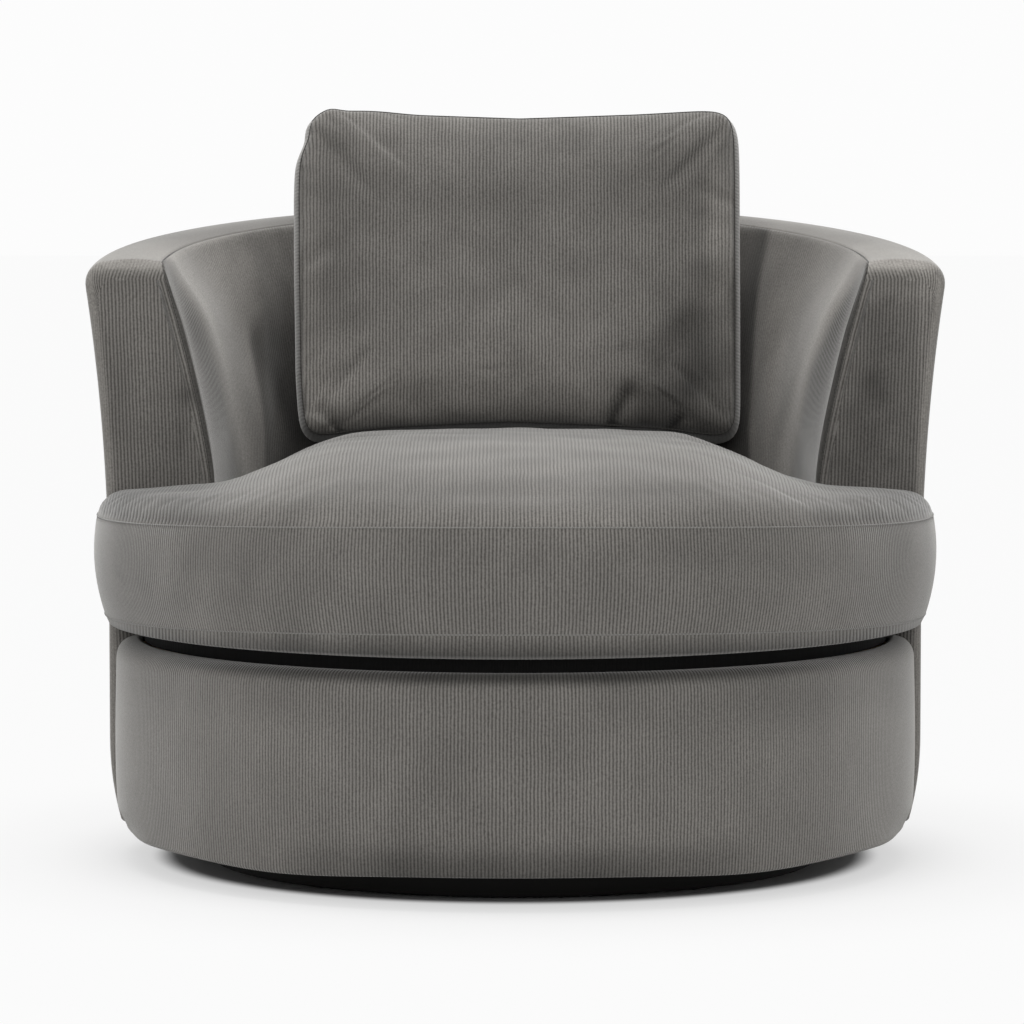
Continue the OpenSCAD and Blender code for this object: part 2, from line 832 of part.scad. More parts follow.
// Its underside follows the crown of the seat
module back_block(inset) {
  difference() {
    back_place() back_lens(inset);
    seat_dome(-skin_gap - inset);
  }
}

module back_zone(y0, y1) {
  back_place() translate([-big, y0, -big]) cube([2 * big, y1 - y0, 2 * big]);
}

module back_skin(y0, y1) {
  difference() {
    intersection() {
      back_block(0);
      back_zone(y0, y1);
    }
    back_block(cloth_t);
  }
}

seam_y = gusset_w / 2 - seam_inset;
back_zip_w = 380;

module back_zip_zone() {
  back_place() translate([-back_zip_w / 2, -zip_h / 2, -big])
    cube([back_zip_w, zip_h, big + back_h / 2]);
}

module back_filling() { color(fibre_white) back_block(cloth_t); }
module back_front_panel() { color(cloth_grey) back_skin(-big, -seam_y); }
module back_rear_panel() { color(cloth_grey) back_skin(seam_y, big); }

module back_gusset() {
  color(cloth_grey) difference() {
    back_skin(-seam_y, seam_y);
    back_zip_zone();
  }
}

module back_zip() {
  color(black) intersection() {
    back_skin(-seam_y, seam_y);
    back_zip_zone();
  }
}

floor_glides();
plinth_board();
plinth_hoop();
lower_tee_nuts();
lower_plate_bolts();
swivel_lower_plate();
inner_race();
race_balls();
swivel_upper_plate();
outer_race();
upper_plate_bolts();
upper_tee_nuts();
base_board();
base_screws();
dust_cover();
arm_panel_left();
arm_panel_right();
back_ribs();
deck_rail();
front_deck_rail();
front_posts();
front_board();
rail_screws();
top_rail();
outer_board();
inner_board();
zigzag_springs();
spring_clips();
spring_cloth();
platform_pad();
platform_cover();
inner_pad();
inner_cover();
outer_cover();
top_pad();
top_band();
arm_facing_left();
arm_facing_right();
apron_pad();
apron_cover();
seat_foam();
seat_top_panel();
seat_boxing();
seat_bottom_panel();
seat_zip();
back_filling();
back_front_panel();
back_gusset();
back_rear_panel();
back_zip();
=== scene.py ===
# %% [markdown]
# # A swivel barrel chair in ribbed cord
#
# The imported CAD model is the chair's skeleton: plinth, swivel, plywood frame, springs and plain
# blocks for the soft parts. This file dresses it. Each cover, cushion and seam is modelled around
# the solids, and every finish is made of shader nodes, so nothing is read but the frame itself.
# Lengths are metres. The origin is on the floor under the swivel, -Y is the front and +Z is up.

import json
import math

import bpy
import numpy as np
from mathutils.kdtree import KDTree
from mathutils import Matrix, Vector
from mathutils.bvhtree import BVHTree


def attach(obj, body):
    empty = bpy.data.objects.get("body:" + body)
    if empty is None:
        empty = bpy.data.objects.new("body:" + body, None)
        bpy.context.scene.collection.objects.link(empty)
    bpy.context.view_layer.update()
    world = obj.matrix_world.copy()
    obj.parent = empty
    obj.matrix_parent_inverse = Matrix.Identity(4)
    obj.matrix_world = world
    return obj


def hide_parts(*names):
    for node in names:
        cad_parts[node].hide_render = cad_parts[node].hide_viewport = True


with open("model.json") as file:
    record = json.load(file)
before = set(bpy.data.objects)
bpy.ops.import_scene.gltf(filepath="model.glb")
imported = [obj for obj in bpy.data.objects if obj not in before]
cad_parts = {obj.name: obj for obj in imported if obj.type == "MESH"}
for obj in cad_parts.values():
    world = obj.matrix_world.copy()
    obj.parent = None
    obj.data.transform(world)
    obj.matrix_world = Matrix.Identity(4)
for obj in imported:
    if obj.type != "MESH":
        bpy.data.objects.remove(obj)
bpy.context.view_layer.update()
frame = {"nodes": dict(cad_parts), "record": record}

# %% [markdown]
# ## The camera
#
# A long lens a little above seat height flattens the drum, which is how such chairs are pictured.
# The camera looks along +Y and tips down a few degrees. The lens follows from how large the chair
# is in a square picture.

# %% Camera
camera_place = Vector((-0.0038, -6.252, 0.867))
camera_pitch = math.radians(4.16)
lens_length = 185.0
sensor_width = 36.0

camera_data = bpy.data.cameras.new("camera")
camera_data.sensor_fit = "HORIZONTAL"
camera_data.sensor_width = sensor_width
camera_data.lens = lens_length
camera = bpy.data.objects.new("camera", camera_data)
camera.location = camera_place
camera.rotation_euler = (math.pi / 2 - camera_pitch, 0, 0)
bpy.context.scene.collection.objects.link(camera)
bpy.context.scene.camera = camera
print("camera", tuple(round(v, 3) for v in camera_place), "lens", lens_length)

# %% [markdown]
# ## The curves of the shell
#
# The drum is round in plan. Its side draws in at the foot and leans out towards the arm tops, and
# the wall of the seat well leans out above the cushion. Two short formulas give both sides at any
# height, and every cover below asks them where it lies.

# %% Shell sizes
drum_r = 0.4855
shell_flare = 0.0295
rim_z = 0.703
arm_h = 0.7085
top_slope = math.radians(7)
top_round = 0.025
well_r = 0.3595
well_flare = 0.0585
well_lean_z = 0.430
hem_z = 0.040
hem_tuck = 0.0140
tuck_top = 0.145
flare_z = 0.300
side_power = 2.15
well_power = 1.35
deck_z = 0.258
deck_top = 0.2883
rim_front, rim_rear = 0.4412, 0.3553    # edge of the black platform under the seat cushion


def shell_at(z):
    z = np.asarray(z, float)
    low = drum_r - hem_tuck * np.clip((tuck_top - z) / (tuck_top - hem_z), 0, None) ** side_power
    high = drum_r + shell_flare * np.clip((z - flare_z) / (rim_z - flare_z), 0, None) ** side_power
    return np.where(z < flare_z, low, high)


def well_at(z):
    z = np.asarray(z, float)
    return well_r + well_flare * np.clip((z - well_lean_z) / (rim_z - well_lean_z), 0, None) ** well_power


print("shell", float(shell_at(arm_h)), "well", float(well_at(arm_h)))

# %% [markdown]
# ## Helpers for laying cloth
#
# A cover is a sheet with its own rib direction, so it could be a plane that is bent by hand, or a
# grid primitive whose rows are laid where the cloth lies. The grid keeps the rows, so the same
# numbers also give the UV map: u runs across the ribs and v along them, both in metres. Panels
# that meet are joined and their doubles merged, as a seamstress sews two edges.

# %% Selection and grids
fine_gap = 0.00005       # points nearer than this are one point


def make_active(piece, *others):
    """Selects a piece, and others with it, for the operators that follow."""
    if bpy.context.object and bpy.context.object.mode != "OBJECT":
        bpy.ops.object.mode_set(mode="OBJECT")
    bpy.ops.object.select_all(action="DESELECT")
    for chosen in (piece, *others):
        chosen.select_set(True)
    bpy.context.view_layer.objects.active = piece


def read_points(piece):
    flat = np.zeros(len(piece.data.vertices) * 3)
    piece.data.vertices.foreach_get("co", flat)
    return flat.reshape(-1, 3)


def write_points(piece, points):
    piece.data.vertices.foreach_set("co", np.asarray(points, float).ravel())
    piece.data.update()


def lay_panel(name, places, ribs):
    """A grid whose point (i, j) lies at places[i, j], with ribs[i, j] as its UV in metres."""
    columns, rows = places.shape[0] - 1, places.shape[1] - 1
    bpy.ops.mesh.primitive_grid_add(x_subdivisions=columns, y_subdivisions=rows, size=2)
    panel = bpy.context.object
    panel.name = panel.data.name = name
    flat = read_points(panel)
    i = np.rint((flat[:, 0] + 1) / 2 * columns).astype(int)
    j = np.rint((flat[:, 1] + 1) / 2 * rows).astype(int)
    corner = np.zeros(len(panel.data.loops), int)
    panel.data.loops.foreach_get("vertex_index", corner)
    panel.data.uv_layers[0].name = "ribs"
    panel.data.uv_layers["ribs"].data.foreach_set("uv", ribs[i, j][corner].ravel())
    write_points(panel, places[i, j])
    return panel


def mend(piece, gap=0.0, fill=False):
    """Merges points closer than gap, fills the open ends if asked, and turns the faces outwards."""
    make_active(piece)
    bpy.ops.object.mode_set(mode="EDIT")
    bpy.ops.mesh.select_all(action="SELECT")
    if gap:
        bpy.ops.mesh.remove_doubles(threshold=gap)
    if fill:
        bpy.ops.mesh.fill_holes(sides=0)
        bpy.ops.mesh.select_all(action="SELECT")
    bpy.ops.mesh.normals_make_consistent(inside=False)
    bpy.ops.object.mode_set(mode="OBJECT")


def sew(name, panels, gap=0.0002):
    """Joins panels into one piece and merges the points where their edges meet."""
    make_active(*panels)
    bpy.ops.object.join()
    piece = bpy.context.object
    piece.name = piece.data.name = name
    mend(piece, gap)
    bpy.ops.object.shade_smooth()
    return piece


def one_panel(name, places, ribs, gap=0.0002):
    return sew(name, [lay_panel(name, places, ribs)], gap)


def give_wall(piece, thickness):
    """Thickens an open cover inwards, so that it has a cut edge and an inside."""
    make_active(piece)
    wall = piece.modifiers.new("wall", "SOLIDIFY")
    wall.thickness = thickness
    wall.offset = -1
    bpy.ops.object.modifier_apply(modifier=wall.name)


def finish_piece(piece, body, slot, nodes=(), finish=None):
    """Says what a piece rides on, what it stands for and what it is made of."""
    piece.data.materials.clear()
    piece.data.materials.append(finish or finishes[slot])
    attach(piece, body)
    if nodes:
        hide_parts(*nodes)
    print(piece.name, "on", body, "faces", len(piece.data.polygons))


# %% [markdown]
# ## Curves
#
# Most shapes and patches below are sums of a few short curves. A step that starts and ends softly
# fades a patch in or out, a bell puts it in one place, and a quarter circle rounds an edge. Each
# takes whole arrays, so a mesh is shaped in one line instead of point by point.

# %% Short curves
def smooth_step(x):
    x = np.clip(x, 0, 1)
    return x * x * (3 - 2 * x)


def fade_in(value, start, width):
    """0 up to start, 1 from start + width on."""
    return smooth_step((value - start) / width)


def fade_out(value, start, width):
    return 1 - fade_in(value, start, width)


def peak(value, middle, width):
    """1 at the middle, falling off on both sides."""
    return np.exp(-((value - middle) / width) ** 2)


def quarter(x):
    """A quarter circle from 0 to 1, upright where it starts."""
    x = np.clip(x, 0, 1)
    return np.sqrt(1 - (1 - x) ** 2)


def travelled(line):
    """The way gone along a line of points, from 0."""
    return np.concatenate([[0], np.cumsum(np.linalg.norm(np.diff(line, axis=0), axis=1))])


def arc(centre, radius, start, end, count):
    """Points on an arc between two angles in degrees."""
    turn = np.radians(np.linspace(start, end, count))
    return np.stack([centre[0] + radius * np.cos(turn), centre[1] + radius * np.sin(turn)], -1)


def carry_round(radius, turn, z):
    """Places round the axis, a column for each angle of turn and a row for each radius and z."""
    turn = turn[:, None]
    return np.stack(np.broadcast_arrays(radius * np.cos(turn), radius * np.sin(turn), z), -1)


def spread_ribs(across, along):
    return np.stack(np.broadcast_arrays(across, along), -1)

# %% [markdown]
# ## Seams
#
# A seam shows as a fine raised line where the two seam allowances lie under the cloth. It could be
# painted on, but a real ridge catches the light from every side. Here it is a thin tube laid along
# the line, half sunk in the cloth.

# %% Seam tubes
tube_sides = 6


def seam_tube(name, line, radius, closed=False):
    line = np.asarray(line, float)
    if closed:
        line = np.vstack([line, line[:1]])
    along = np.gradient(line, axis=0)
    if closed:
        along[0] = along[-1] = line[1] - line[-2]
    along /= np.linalg.norm(along, axis=1)[:, None]
    out = np.cross(along, np.where(np.abs(along[:, 2:3]) > 0.9, [[1.0, 0, 0]], [[0, 0, 1.0]]))
    out /= np.linalg.norm(out, axis=1)[:, None]
    up = np.cross(along, out)
    turn = np.linspace(0, 2 * math.pi, tube_sides + 1)
    places = (line[:, None] + radius * (np.cos(turn)[None, :, None] * out[:, None]
                                        + np.sin(turn)[None, :, None] * up[:, None]))
    return one_panel(name, places, spread_ribs(turn * radius, travelled(line)[:, None]), radius / 20)

# %% [markdown]
# ## Pile, and painted light and shade
#
# A hand that strokes cord leaves darker and lighter patches, where the pile lies another way, and
# where the pile lies flat the ribs hardly show. The same patches also paint light and shade: shadows
# beside and under the cushions and along the apron's top, darker creases, and lighter arm tops and
# edges where the lamps fall. A painted image could do it, but each patch is only a soft blot with a
# ragged rim, so it is worked out for each point of the mesh and kept in two attributes: the first
# makes the cloth darker or lighter, for pile and painted light alike, and sleek flattens its ribs.

# %% Pile and light helpers
def ripple(points, size, seed):
    """Smooth waves from about -1 to 1, each about as long as size, the same at every run."""
    dice = np.random.default_rng(seed)
    ways = dice.normal(size=(7, 3))
    ways /= np.linalg.norm(ways, axis=1)[:, None]
    ways *= (2 * math.pi / size) * dice.uniform(0.6, 1.5, 7)[:, None]
    return np.sin(points @ ways.T + dice.uniform(0, 2 * math.pi, 7)).sum(1) / 2.6


def blots(points, patches):
    """Sums soft ragged patches. Each is a seed, a centre, a half width along each axis, how much
    it adds in the middle and, if it isn't 0.35, how ragged its rim is."""
    pile_and_painted_light = 0
    for seed, centre, size, amount, *ragged in patches:
        off = np.linalg.norm((points - np.array(centre)) / np.array(size), axis=1)
        wave = ripple(points, 1.2 * min(size) + 0.01, seed)
        off *= 1 + (ragged[0] if ragged else 0.35) * wave
        pile_and_painted_light = pile_and_painted_light + amount * np.exp(-off ** 2)
    return pile_and_painted_light


def paint_pile_and_light(piece, pile_and_painted_light, sleek):
    for name, share in (("pile_and_painted_light", pile_and_painted_light), ("sleek", sleek)):
        layer = piece.data.attributes.new(name, "FLOAT", "POINT")
        layer.data.foreach_set("value", np.asarray(share, float))

# %% [markdown]
# ## Finishes
#
# A few helpers keep the node graphs readable: one adds a node and fills its sockets, one does
# arithmetic. Constants go straight on the shader's own sockets, so they survive an export.

# %% Node helpers
def add_node(tree, kind, settings=(), **sockets):
    """Adds a node; s0=, s1= fill its inputs by number, with a constant or another node's output."""
    made = tree.nodes.new(kind)
    for key, value in dict(settings).items():
        setattr(made, key, value)
    for key, value in sockets.items():
        socket = made.inputs[int(key[1:])]
        if isinstance(value, bpy.types.NodeSocket):
            tree.links.new(value, socket)
        else:
            socket.default_value = value
    return made


def maths(tree, operation, a, b=0.0, c=0.0):
    return add_node(tree, "ShaderNodeMath", {"operation": operation}, s0=a, s1=b, s2=c).outputs[0]


def times(tree, a, b):
    return maths(tree, "MULTIPLY", a, b)


def mapped(tree, a, slope, level):
    return maths(tree, "MULTIPLY_ADD", a, slope, level)


def tint(tree, share, dark, light):
    """A colour between dark and light."""
    mixer = add_node(tree, "ShaderNodeMix", {"data_type": "RGBA"}, s6=(*dark, 1), s7=(*light, 1))
    tree.links.new(share, mixer.inputs["Factor"])
    return mixer.outputs[2]


def noise(tree, place, scale, detail):
    return add_node(tree, "ShaderNodeTexNoise", s0=place, s2=scale, s3=detail).outputs[0]


def speckle(tree, place, size, detail=2.0):
    """Noise from 0 to 1, with patches about as large as size, in metres."""
    return noise(tree, place, 1 / size, detail)


def split_uv(tree):
    """The UV map of the ribs: metres across them and along them."""
    uv = add_node(tree, "ShaderNodeUVMap", {"uv_map": "ribs"}).outputs[0]
    return add_node(tree, "ShaderNodeSeparateXYZ", s0=uv).outputs


def new_finish(name, roughness, metallic=0.0, specular=0.5, sheen=0.0, sheen_rough=0.4):
    finish = bpy.data.materials.new(name)
    finish.use_nodes = True
    tree = finish.node_tree
    shader = tree.nodes["Principled BSDF"]
    for socket, value in (("Roughness", roughness), ("Metallic", metallic),
                          ("Specular IOR Level", specular), ("Sheen Weight", sheen),
                          ("Sheen Roughness", sheen_rough)):
        shader.inputs[socket].default_value = value
    place = tree.nodes.new("ShaderNodeTexCoord").outputs["Object"]
    return finish, tree, shader, place


def coat(tree, shader, colour, height):
    """Gives a shader its colour, and a relief from a height in metres."""
    tree.links.new(colour, shader.inputs["Base Color"])
    relief = add_node(tree, "ShaderNodeBump", s0=1.0, s1=1.0)
    tree.links.new(height, relief.inputs["Height"])
    tree.links.new(relief.outputs[0], shader.inputs["Normal"])

# %% [markdown]
# ## Ribbed cord
#
# The cover is a fine cord of about six ribs to the inch. It could be an image of cloth, but a rib
# is only a rounded wave across the UV map, so it stays sharp at any distance. Each rib gets a dark
# furrow, short fibres that run along it, and broad patches where the pile has been brushed
# another way; the patches are scaled by each cover's attribute of pile and painted light and shade.
# Sheen brightens the cloth where it turns away from the eye, as pile does.

# %% Cord cloth
rib_pitch = 0.0042
rib_height = 0.0007
mean_rib = 0.58                                # a flattened rib has this even height
fibre_width, fibre_length = 0.0007, 0.0030
cord_dark = (0.052, 0.048, 0.043)
cord_light = (0.190, 0.181, 0.168)


def cord_cloth(name):
    finish, tree, shader, place = new_finish(name, 0.85, specular=0.25, sheen=0.55, sheen_rough=0.38)
    shader.inputs["Sheen Tint"].default_value = (0.95, 0.94, 0.92, 1)
    across, along, _ = split_uv(tree)
    sway = mapped(tree, speckle(tree, place, 0.03, 1.0), 0.0016, across)
    wave = maths(tree, "COSINE", times(tree, sway, 2 * math.pi / rib_pitch))
    rib = maths(tree, "POWER", mapped(tree, wave, 0.5, 0.5), 0.65)
    # The first attribute is the cover's pile together with its painted light and shade.
    pile_and_painted_light, sleek = [add_node(tree, "ShaderNodeAttribute", {"attribute_name": share}).outputs["Fac"]
                  for share in ("pile_and_painted_light", "sleek")]
    rib = mapped(tree, maths(tree, "SUBTRACT", mean_rib, rib), sleek, rib)
    fibre_place = add_node(tree, "ShaderNodeCombineXYZ", s0=times(tree, across, 1 / fibre_width),
                           s1=times(tree, along, 1 / fibre_length)).outputs[0]
    fibre = noise(tree, fibre_place, 1.0, 2.0)
    grain = speckle(tree, place, 0.0022, 3.0)
    tufts = mapped(tree, fibre, 0.5, times(tree, grain, 1.1))
    shade = maths(tree, "ADD", tufts, mapped(tree, rib, 0.85, -0.72))
    cloth = tint(tree, shade, cord_dark, cord_light)
    patch = mapped(tree, speckle(tree, place, 0.16, 3.0), 0.42, 0.79)
    streak = mapped(tree, speckle(tree, place, 0.035, 2.0), 0.16, 0.92)
    patch = times(tree, patch, maths(tree, "ADD", pile_and_painted_light, 1.0))
    cloth = add_node(tree, "ShaderNodeVectorMath", {"operation": "SCALE"},
                     s0=cloth, s3=times(tree, patch, streak)).outputs[0]
    height = mapped(tree, maths(tree, "ADD", fibre, grain), 0.0001, times(tree, rib, rib_height))
    coat(tree, shader, cloth, height)
    return finish


print("cord ribs every", rib_pitch * 1000, "mm")

# %% [markdown]
# ## Seam thread, paint, wood, metal, foam
#
# Everything else is quickly told apart by its grain: a stitched edge has a dash every few
# millimetres, paint has a faint orange peel, plywood has long grain, hardboard is speckled, foam
# is pored, and woven cloths cross two waves.

# %% Plain finishes
def stitched_edge(name, dark, light):
    finish, tree, shader, _ = new_finish(name, 0.85, specular=0.25, sheen=0.4)
    dash = maths(tree, "COSINE", times(tree, split_uv(tree)[1], 2 * math.pi / rib_pitch))
    colour = tint(tree, mapped(tree, dash, 0.25, 0.5), dark, light)
    coat(tree, shader, colour, times(tree, dash, 0.0002))
    return finish


def painted(name, dark, light, roughness, specular=0.5):
    finish, tree, shader, place = new_finish(name, roughness, specular=specular)
    peel = speckle(tree, place, 0.0015)
    colour = tint(tree, speckle(tree, place, 0.05), dark, light)
    coat(tree, shader, colour, times(tree, peel, 0.00006))
    return finish


def grained(name, dark, light, long_axis=0):
    finish, tree, shader, place = new_finish(name, 0.6, specular=0.35)
    stretch = [90.0, 90.0, 90.0]
    stretch[long_axis] = 6.0
    grain_place = add_node(tree, "ShaderNodeVectorMath", {"operation": "MULTIPLY"},
                           s0=place, s1=tuple(stretch)).outputs[0]
    grain = noise(tree, grain_place, 1.0, 4.0)
    coat(tree, shader, tint(tree, grain, dark, light), times(tree, grain, 0.0002))
    return finish


def pored(name, dark, light, pore=0.002, depth=0.0006):
    finish, tree, shader, place = new_finish(name, 0.9, specular=0.2)
    pores = add_node(tree, "ShaderNodeTexVoronoi", s0=place, s2=1 / pore).outputs[0]
    coat(tree, shader, tint(tree, pores, light, dark), times(tree, pores, -depth))
    return finish


def metal(name, dark, light, roughness):
    finish, tree, shader, place = new_finish(name, roughness, metallic=1.0)
    colour = tint(tree, speckle(tree, place, 0.012, 3.0), dark, light)
    coat(tree, shader, colour, times(tree, speckle(tree, place, 0.0008), 0.00002))
    return finish


def woven(name, dark, light, pitch=0.0016, sheen=0.1):
    finish, tree, shader, place = new_finish(name, 0.85, specular=0.2, sheen=sheen)
    axes = add_node(tree, "ShaderNodeSeparateXYZ", s0=place).outputs
    turns = [maths(tree, "SINE", times(tree, axes[k], math.pi / pitch)) for k in (0, 1)]
    weave = mapped(tree, times(tree, *turns), 0.5, 0.5)
    fuzz = mapped(tree, speckle(tree, place, 0.02), 0.4, times(tree, weave, 0.6))
    coat(tree, shader, tint(tree, fuzz, dark, light), times(tree, weave, 0.0003))
    return finish


cord = cord_cloth("cord_cloth")
seam_edge = stitched_edge("seam_edge", (0.11, 0.105, 0.097), (0.23, 0.225, 0.212))
# A near-black thread paints the shade in the inner seam of the shell and in the seams of the back cushion.
seam_shadow_edge = stitched_edge("seam_shadow_edge", (0.018, 0.017, 0.015), (0.060, 0.057, 0.052))
recipes = {
    # Painted shade: the black paint is darker than real paint, as the plinth lies in the drum's shadow.
    "black_paint": (painted, (0.0030, 0.0027, 0.0022), (0.0062, 0.0056, 0.0046), 0.6, 0.22),
    "black_plastic": (painted, (0.010, 0.010, 0.010), (0.018, 0.018, 0.018), 0.45),
    "zinc_steel": (metal, (0.42, 0.43, 0.45), (0.62, 0.63, 0.65), 0.38),
    "bright_steel": (metal, (0.60, 0.60, 0.61), (0.75, 0.75, 0.76), 0.22),
    "spring_wire": (metal, (0.18, 0.18, 0.19), (0.34, 0.34, 0.35), 0.40),
    "plywood": (grained, (0.42, 0.29, 0.16), (0.66, 0.50, 0.31)),
    "hardboard": (grained, (0.15, 0.09, 0.05), (0.26, 0.16, 0.09), 2),
    "hessian": (woven, (0.28, 0.21, 0.13), (0.52, 0.42, 0.28), 0.0024),
    # Painted shade: the black cloth is darker than real cloth, so the slot under the seat cushion reads
    # black.
    "black_cloth": (woven, (0.0012, 0.0012, 0.0011), (0.0055, 0.0052, 0.005), 0.0016, 0.0),
    "zip_tape": (woven, (0.012, 0.012, 0.012), (0.05, 0.05, 0.05), 0.0012),
    "foam": (pored, (0.52, 0.46, 0.32), (0.82, 0.77, 0.62)),
    "fibre": (pored, (0.66, 0.66, 0.64), (0.90, 0.90, 0.88), 0.006, 0.002),
}
finishes = {name: make(name, *rest) for name, (make, *rest) in recipes.items()}
finishes["cord_cloth"] = cord

slot_of = {part["node"]: part["material_slot"] for part in frame["record"]["subparts"]}
for name, node in frame["nodes"].items():
    node.data.materials.clear()
    node.data.materials.append(finishes[slot_of[name]])
print("finishes", len(finishes) + 2)

# %% [markdown]
# ## The upholstered shell: one section, carried round
#
# The arms and back are one wall. On the real chair a long band covers its top and runs down the
# front of each arm, and the outside is a separate panel. The wall could be cut from a solid and
# bevelled, but three different roundings meet at each arm's corner, and a bevel pinches there. So
# one section, from the seam inside the arm over the top and down to the hem, is worked out with its
# own rounding and carried round the chair. Near the arm fronts the section shrinks by a quarter
# circle, which rounds the front edges.

# %% Section of the wall
front_round = 0.014      # rounding of the arm front's outer edge
brow_round = 0.020       # rounding where the band turns down over the arm front
seam_roll = 0.005        # the band turns into the inner seam with this rounding
seam_tuck = 0.004        # and its edge is tucked in this far
band_swell = 0.0025      # the band swells this much in the middle of the arm's top
flap_drop = 0.042        # the band's outer seam lies this far below the top edge
seam_dip = 0.0022        # a seam draws the padding in by this much
corner_ease = 0.35       # where the section shrinks, its top corner's rounding shrinks by this share
slope_step = 0.02        # the side's slope is measured over this height
settle_rounds = 12       # a height that depends on itself is settled in this many rounds
outer_foot = 0.006       # rounding of the outer cover's hem
hem_turn = 0.433         # the hem is turned in under the base as far as this radius
hem_up = 0.006           # and up by this much
front_lean = 0.03        # the ribs of the arm fronts lean out this much
strip_w = 0.010          # beside the inner seam the ribs run along it
strip_blend = 0.002

roll_points, flat_points, corner_points = 4, 44, 12
flap_points, side_points, tuck_points = 7, 26, 12
foot_points, hem_points = 3, 2
band_last = roll_points + flat_points + corner_points + flap_points - 1


def steps_to(count):
    """Shares from just after 0 up to 1."""
    return np.linspace(0, 1, count + 1)[1:]


def seam_fold():
    """The rounding into the inner seam, from the tucked edge: how far out and how far down."""
    turn = np.linspace(0, math.pi / 2, roll_points + 1)[:-1]
    down = seam_roll * (1 - np.sin(turn))
    down[0] += seam_tuck
    return list(zip(seam_roll * (1 - np.cos(turn)), down))


def wall_section(cut_y, turn, inset_side, inset_top, roll_way):
    """Points of the wall's section and the length along it.

    cut_y is set for a section at constant Y near the arm fronts, turn for one at an angle."""
    cut = cut_y is not None
    off = cut_y if cut else 0.0
    tilt = 0.0 if cut else math.sin(turn) * math.tan(top_slope)
    level = arm_h - inset_top + off * math.tan(top_slope)

    def side(z):
        return float(np.sqrt(shell_at(z) ** 2 - off ** 2)) - inset_side

    def wall(z):
        return float(np.sqrt(well_at(z) ** 2 - off ** 2))

    z_out = z_in = level
    for _ in range(settle_rounds):
        z_out = level + side(z_out) * tilt
        z_in = level + wall(z_in) * tilt
    corner = np.array([side(z_out), z_out])
    slope = (side(z_out) - side(z_out - slope_step)) / slope_step
    down = np.array([-slope, -1.0]) / math.hypot(slope, 1)
    back = np.array([-1.0, -tilt]) / math.hypot(tilt, 1)
    half = math.acos(float(down @ back)) / 2
    radius = top_round - corner_ease * inset_side
    reach = radius / math.tan(half)
    centre = corner + (down + back) / np.linalg.norm(down + back) * radius / math.sin(half)
    start, end = corner + back * reach, corner + down * reach
    angles = [math.degrees(math.atan2(*(p - centre)[::-1])) for p in (start, end)]
    inner = np.array([wall(z_in), z_in])
    points = [(inner[0] + x, off + d * roll_way[0], level + tilt * (inner[0] + x) - d * roll_way[1])
              for x, d in seam_fold()]
    for u in np.linspace(0, 1, flat_points + 1)[:-1]:
        x, z = (inner + (seam_roll, tilt * seam_roll)) * (1 - u) + start * u
        points.append((x, off, z + band_swell * math.sin(math.pi * u) * (inset_top < 0.001)))
    points += [(x, off, z) for x, z in arc(centre, radius, *angles, corner_points)]
    flap_z = z_out - flap_drop
    low = hem_z + outer_foot
    levels = np.concatenate([end[1] + (flap_z - end[1]) * steps_to(flap_points) ** 0.6,
                             flap_z + (tuck_top - flap_z) * steps_to(side_points),
                             tuck_top + (low - tuck_top) * steps_to(tuck_points)])
    dips = seam_dip * (np.arange(len(levels)) == flap_points - 1) * (not cut)
    points += [(side(z) - dip, off, z) for z, dip in zip(levels, dips)]
    points += [(x, off, z) for x, z in arc((side(low) - outer_foot, low), outer_foot, -30, -90, foot_points)]
    points += [(hem_turn - inset_side, off, z) for z in (hem_z, hem_z + hem_up)]
    points = np.array(points)
    length = travelled(points[:, [0, 2]]) + inner[0]
    if not cut:
        points[:, :2] = points[:, :1] * (math.cos(turn), math.sin(turn))
    return points, length

# %% [markdown]
# ## Round the chair
#
# The drum could be spun, but its section changes near the arm fronts. So a section is worked out
# for each of many angles, and for a few steps in front of them, where it shrinks. The way travelled
# from section to section gives the ribs their place across the cloth.

# %% Carry the section round the chair
cap_steps = 8
turn_steps = 150
first_turn = math.asin(brow_round / drum_r)
made, travel = [], []
for a in np.linspace(0, math.pi / 2, cap_steps + 1)[:-1]:
    depth = brow_round * (1 - math.cos(a))
    side_in = front_round * (1 - float(quarter(depth / front_round)))
    top_in = brow_round * (1 - math.sin(a))
    made.append(wall_section(depth, None, side_in, top_in, (math.cos(a), math.sin(a))))
    travel.append(brow_round * a)
for turn in np.linspace(first_turn, math.pi - first_turn, turn_steps + 1):
    made.append(wall_section(None, turn, 0, 0, (0, 1)))
    travel.append(brow_round * math.pi / 2 + drum_r * (turn - first_turn))
span = travel[-1] + brow_round * math.pi / 2
for k in range(cap_steps - 1, -1, -1):
    made.append((made[k][0] * (-1, 1, 1), made[k][1]))
    travel.append(span - travel[k])
sections, lengths = [np.array(part) for part in zip(*made)]
travel = np.array(travel)
print("sections", sections.shape, "cloth round the arms", round(span, 3), "m")

# %% [markdown]
# ## Panels of the cover
#
# A seamstress cuts the band, the outside panel and the two arm fronts apart and sews them together.
# The sections are shared out among the same panels, so that each has ribs of its own direction, and
# their edges merge into one cover. Then patches of pile are laid on, with painted light and shade
# on the arm tops and the arm fronts.

# %% Panels of the shell
front_puff = 0.003       # the arm fronts swell this much
front_puff_top = 0.05    # and the swell fades over this height below the brow
apron_side = 0.459       # beside the apron the arm fronts end at this x

band = lay_panel("band", sections[:, :band_last + 1],
                 spread_ribs(lengths[:, :band_last + 1], travel[:, None]))
turned = slice(cap_steps, -cap_steps)
outer = lay_panel("outer", sections[turned, band_last:],
                  spread_ribs(travel[turned, None], -lengths[turned, band_last:]))


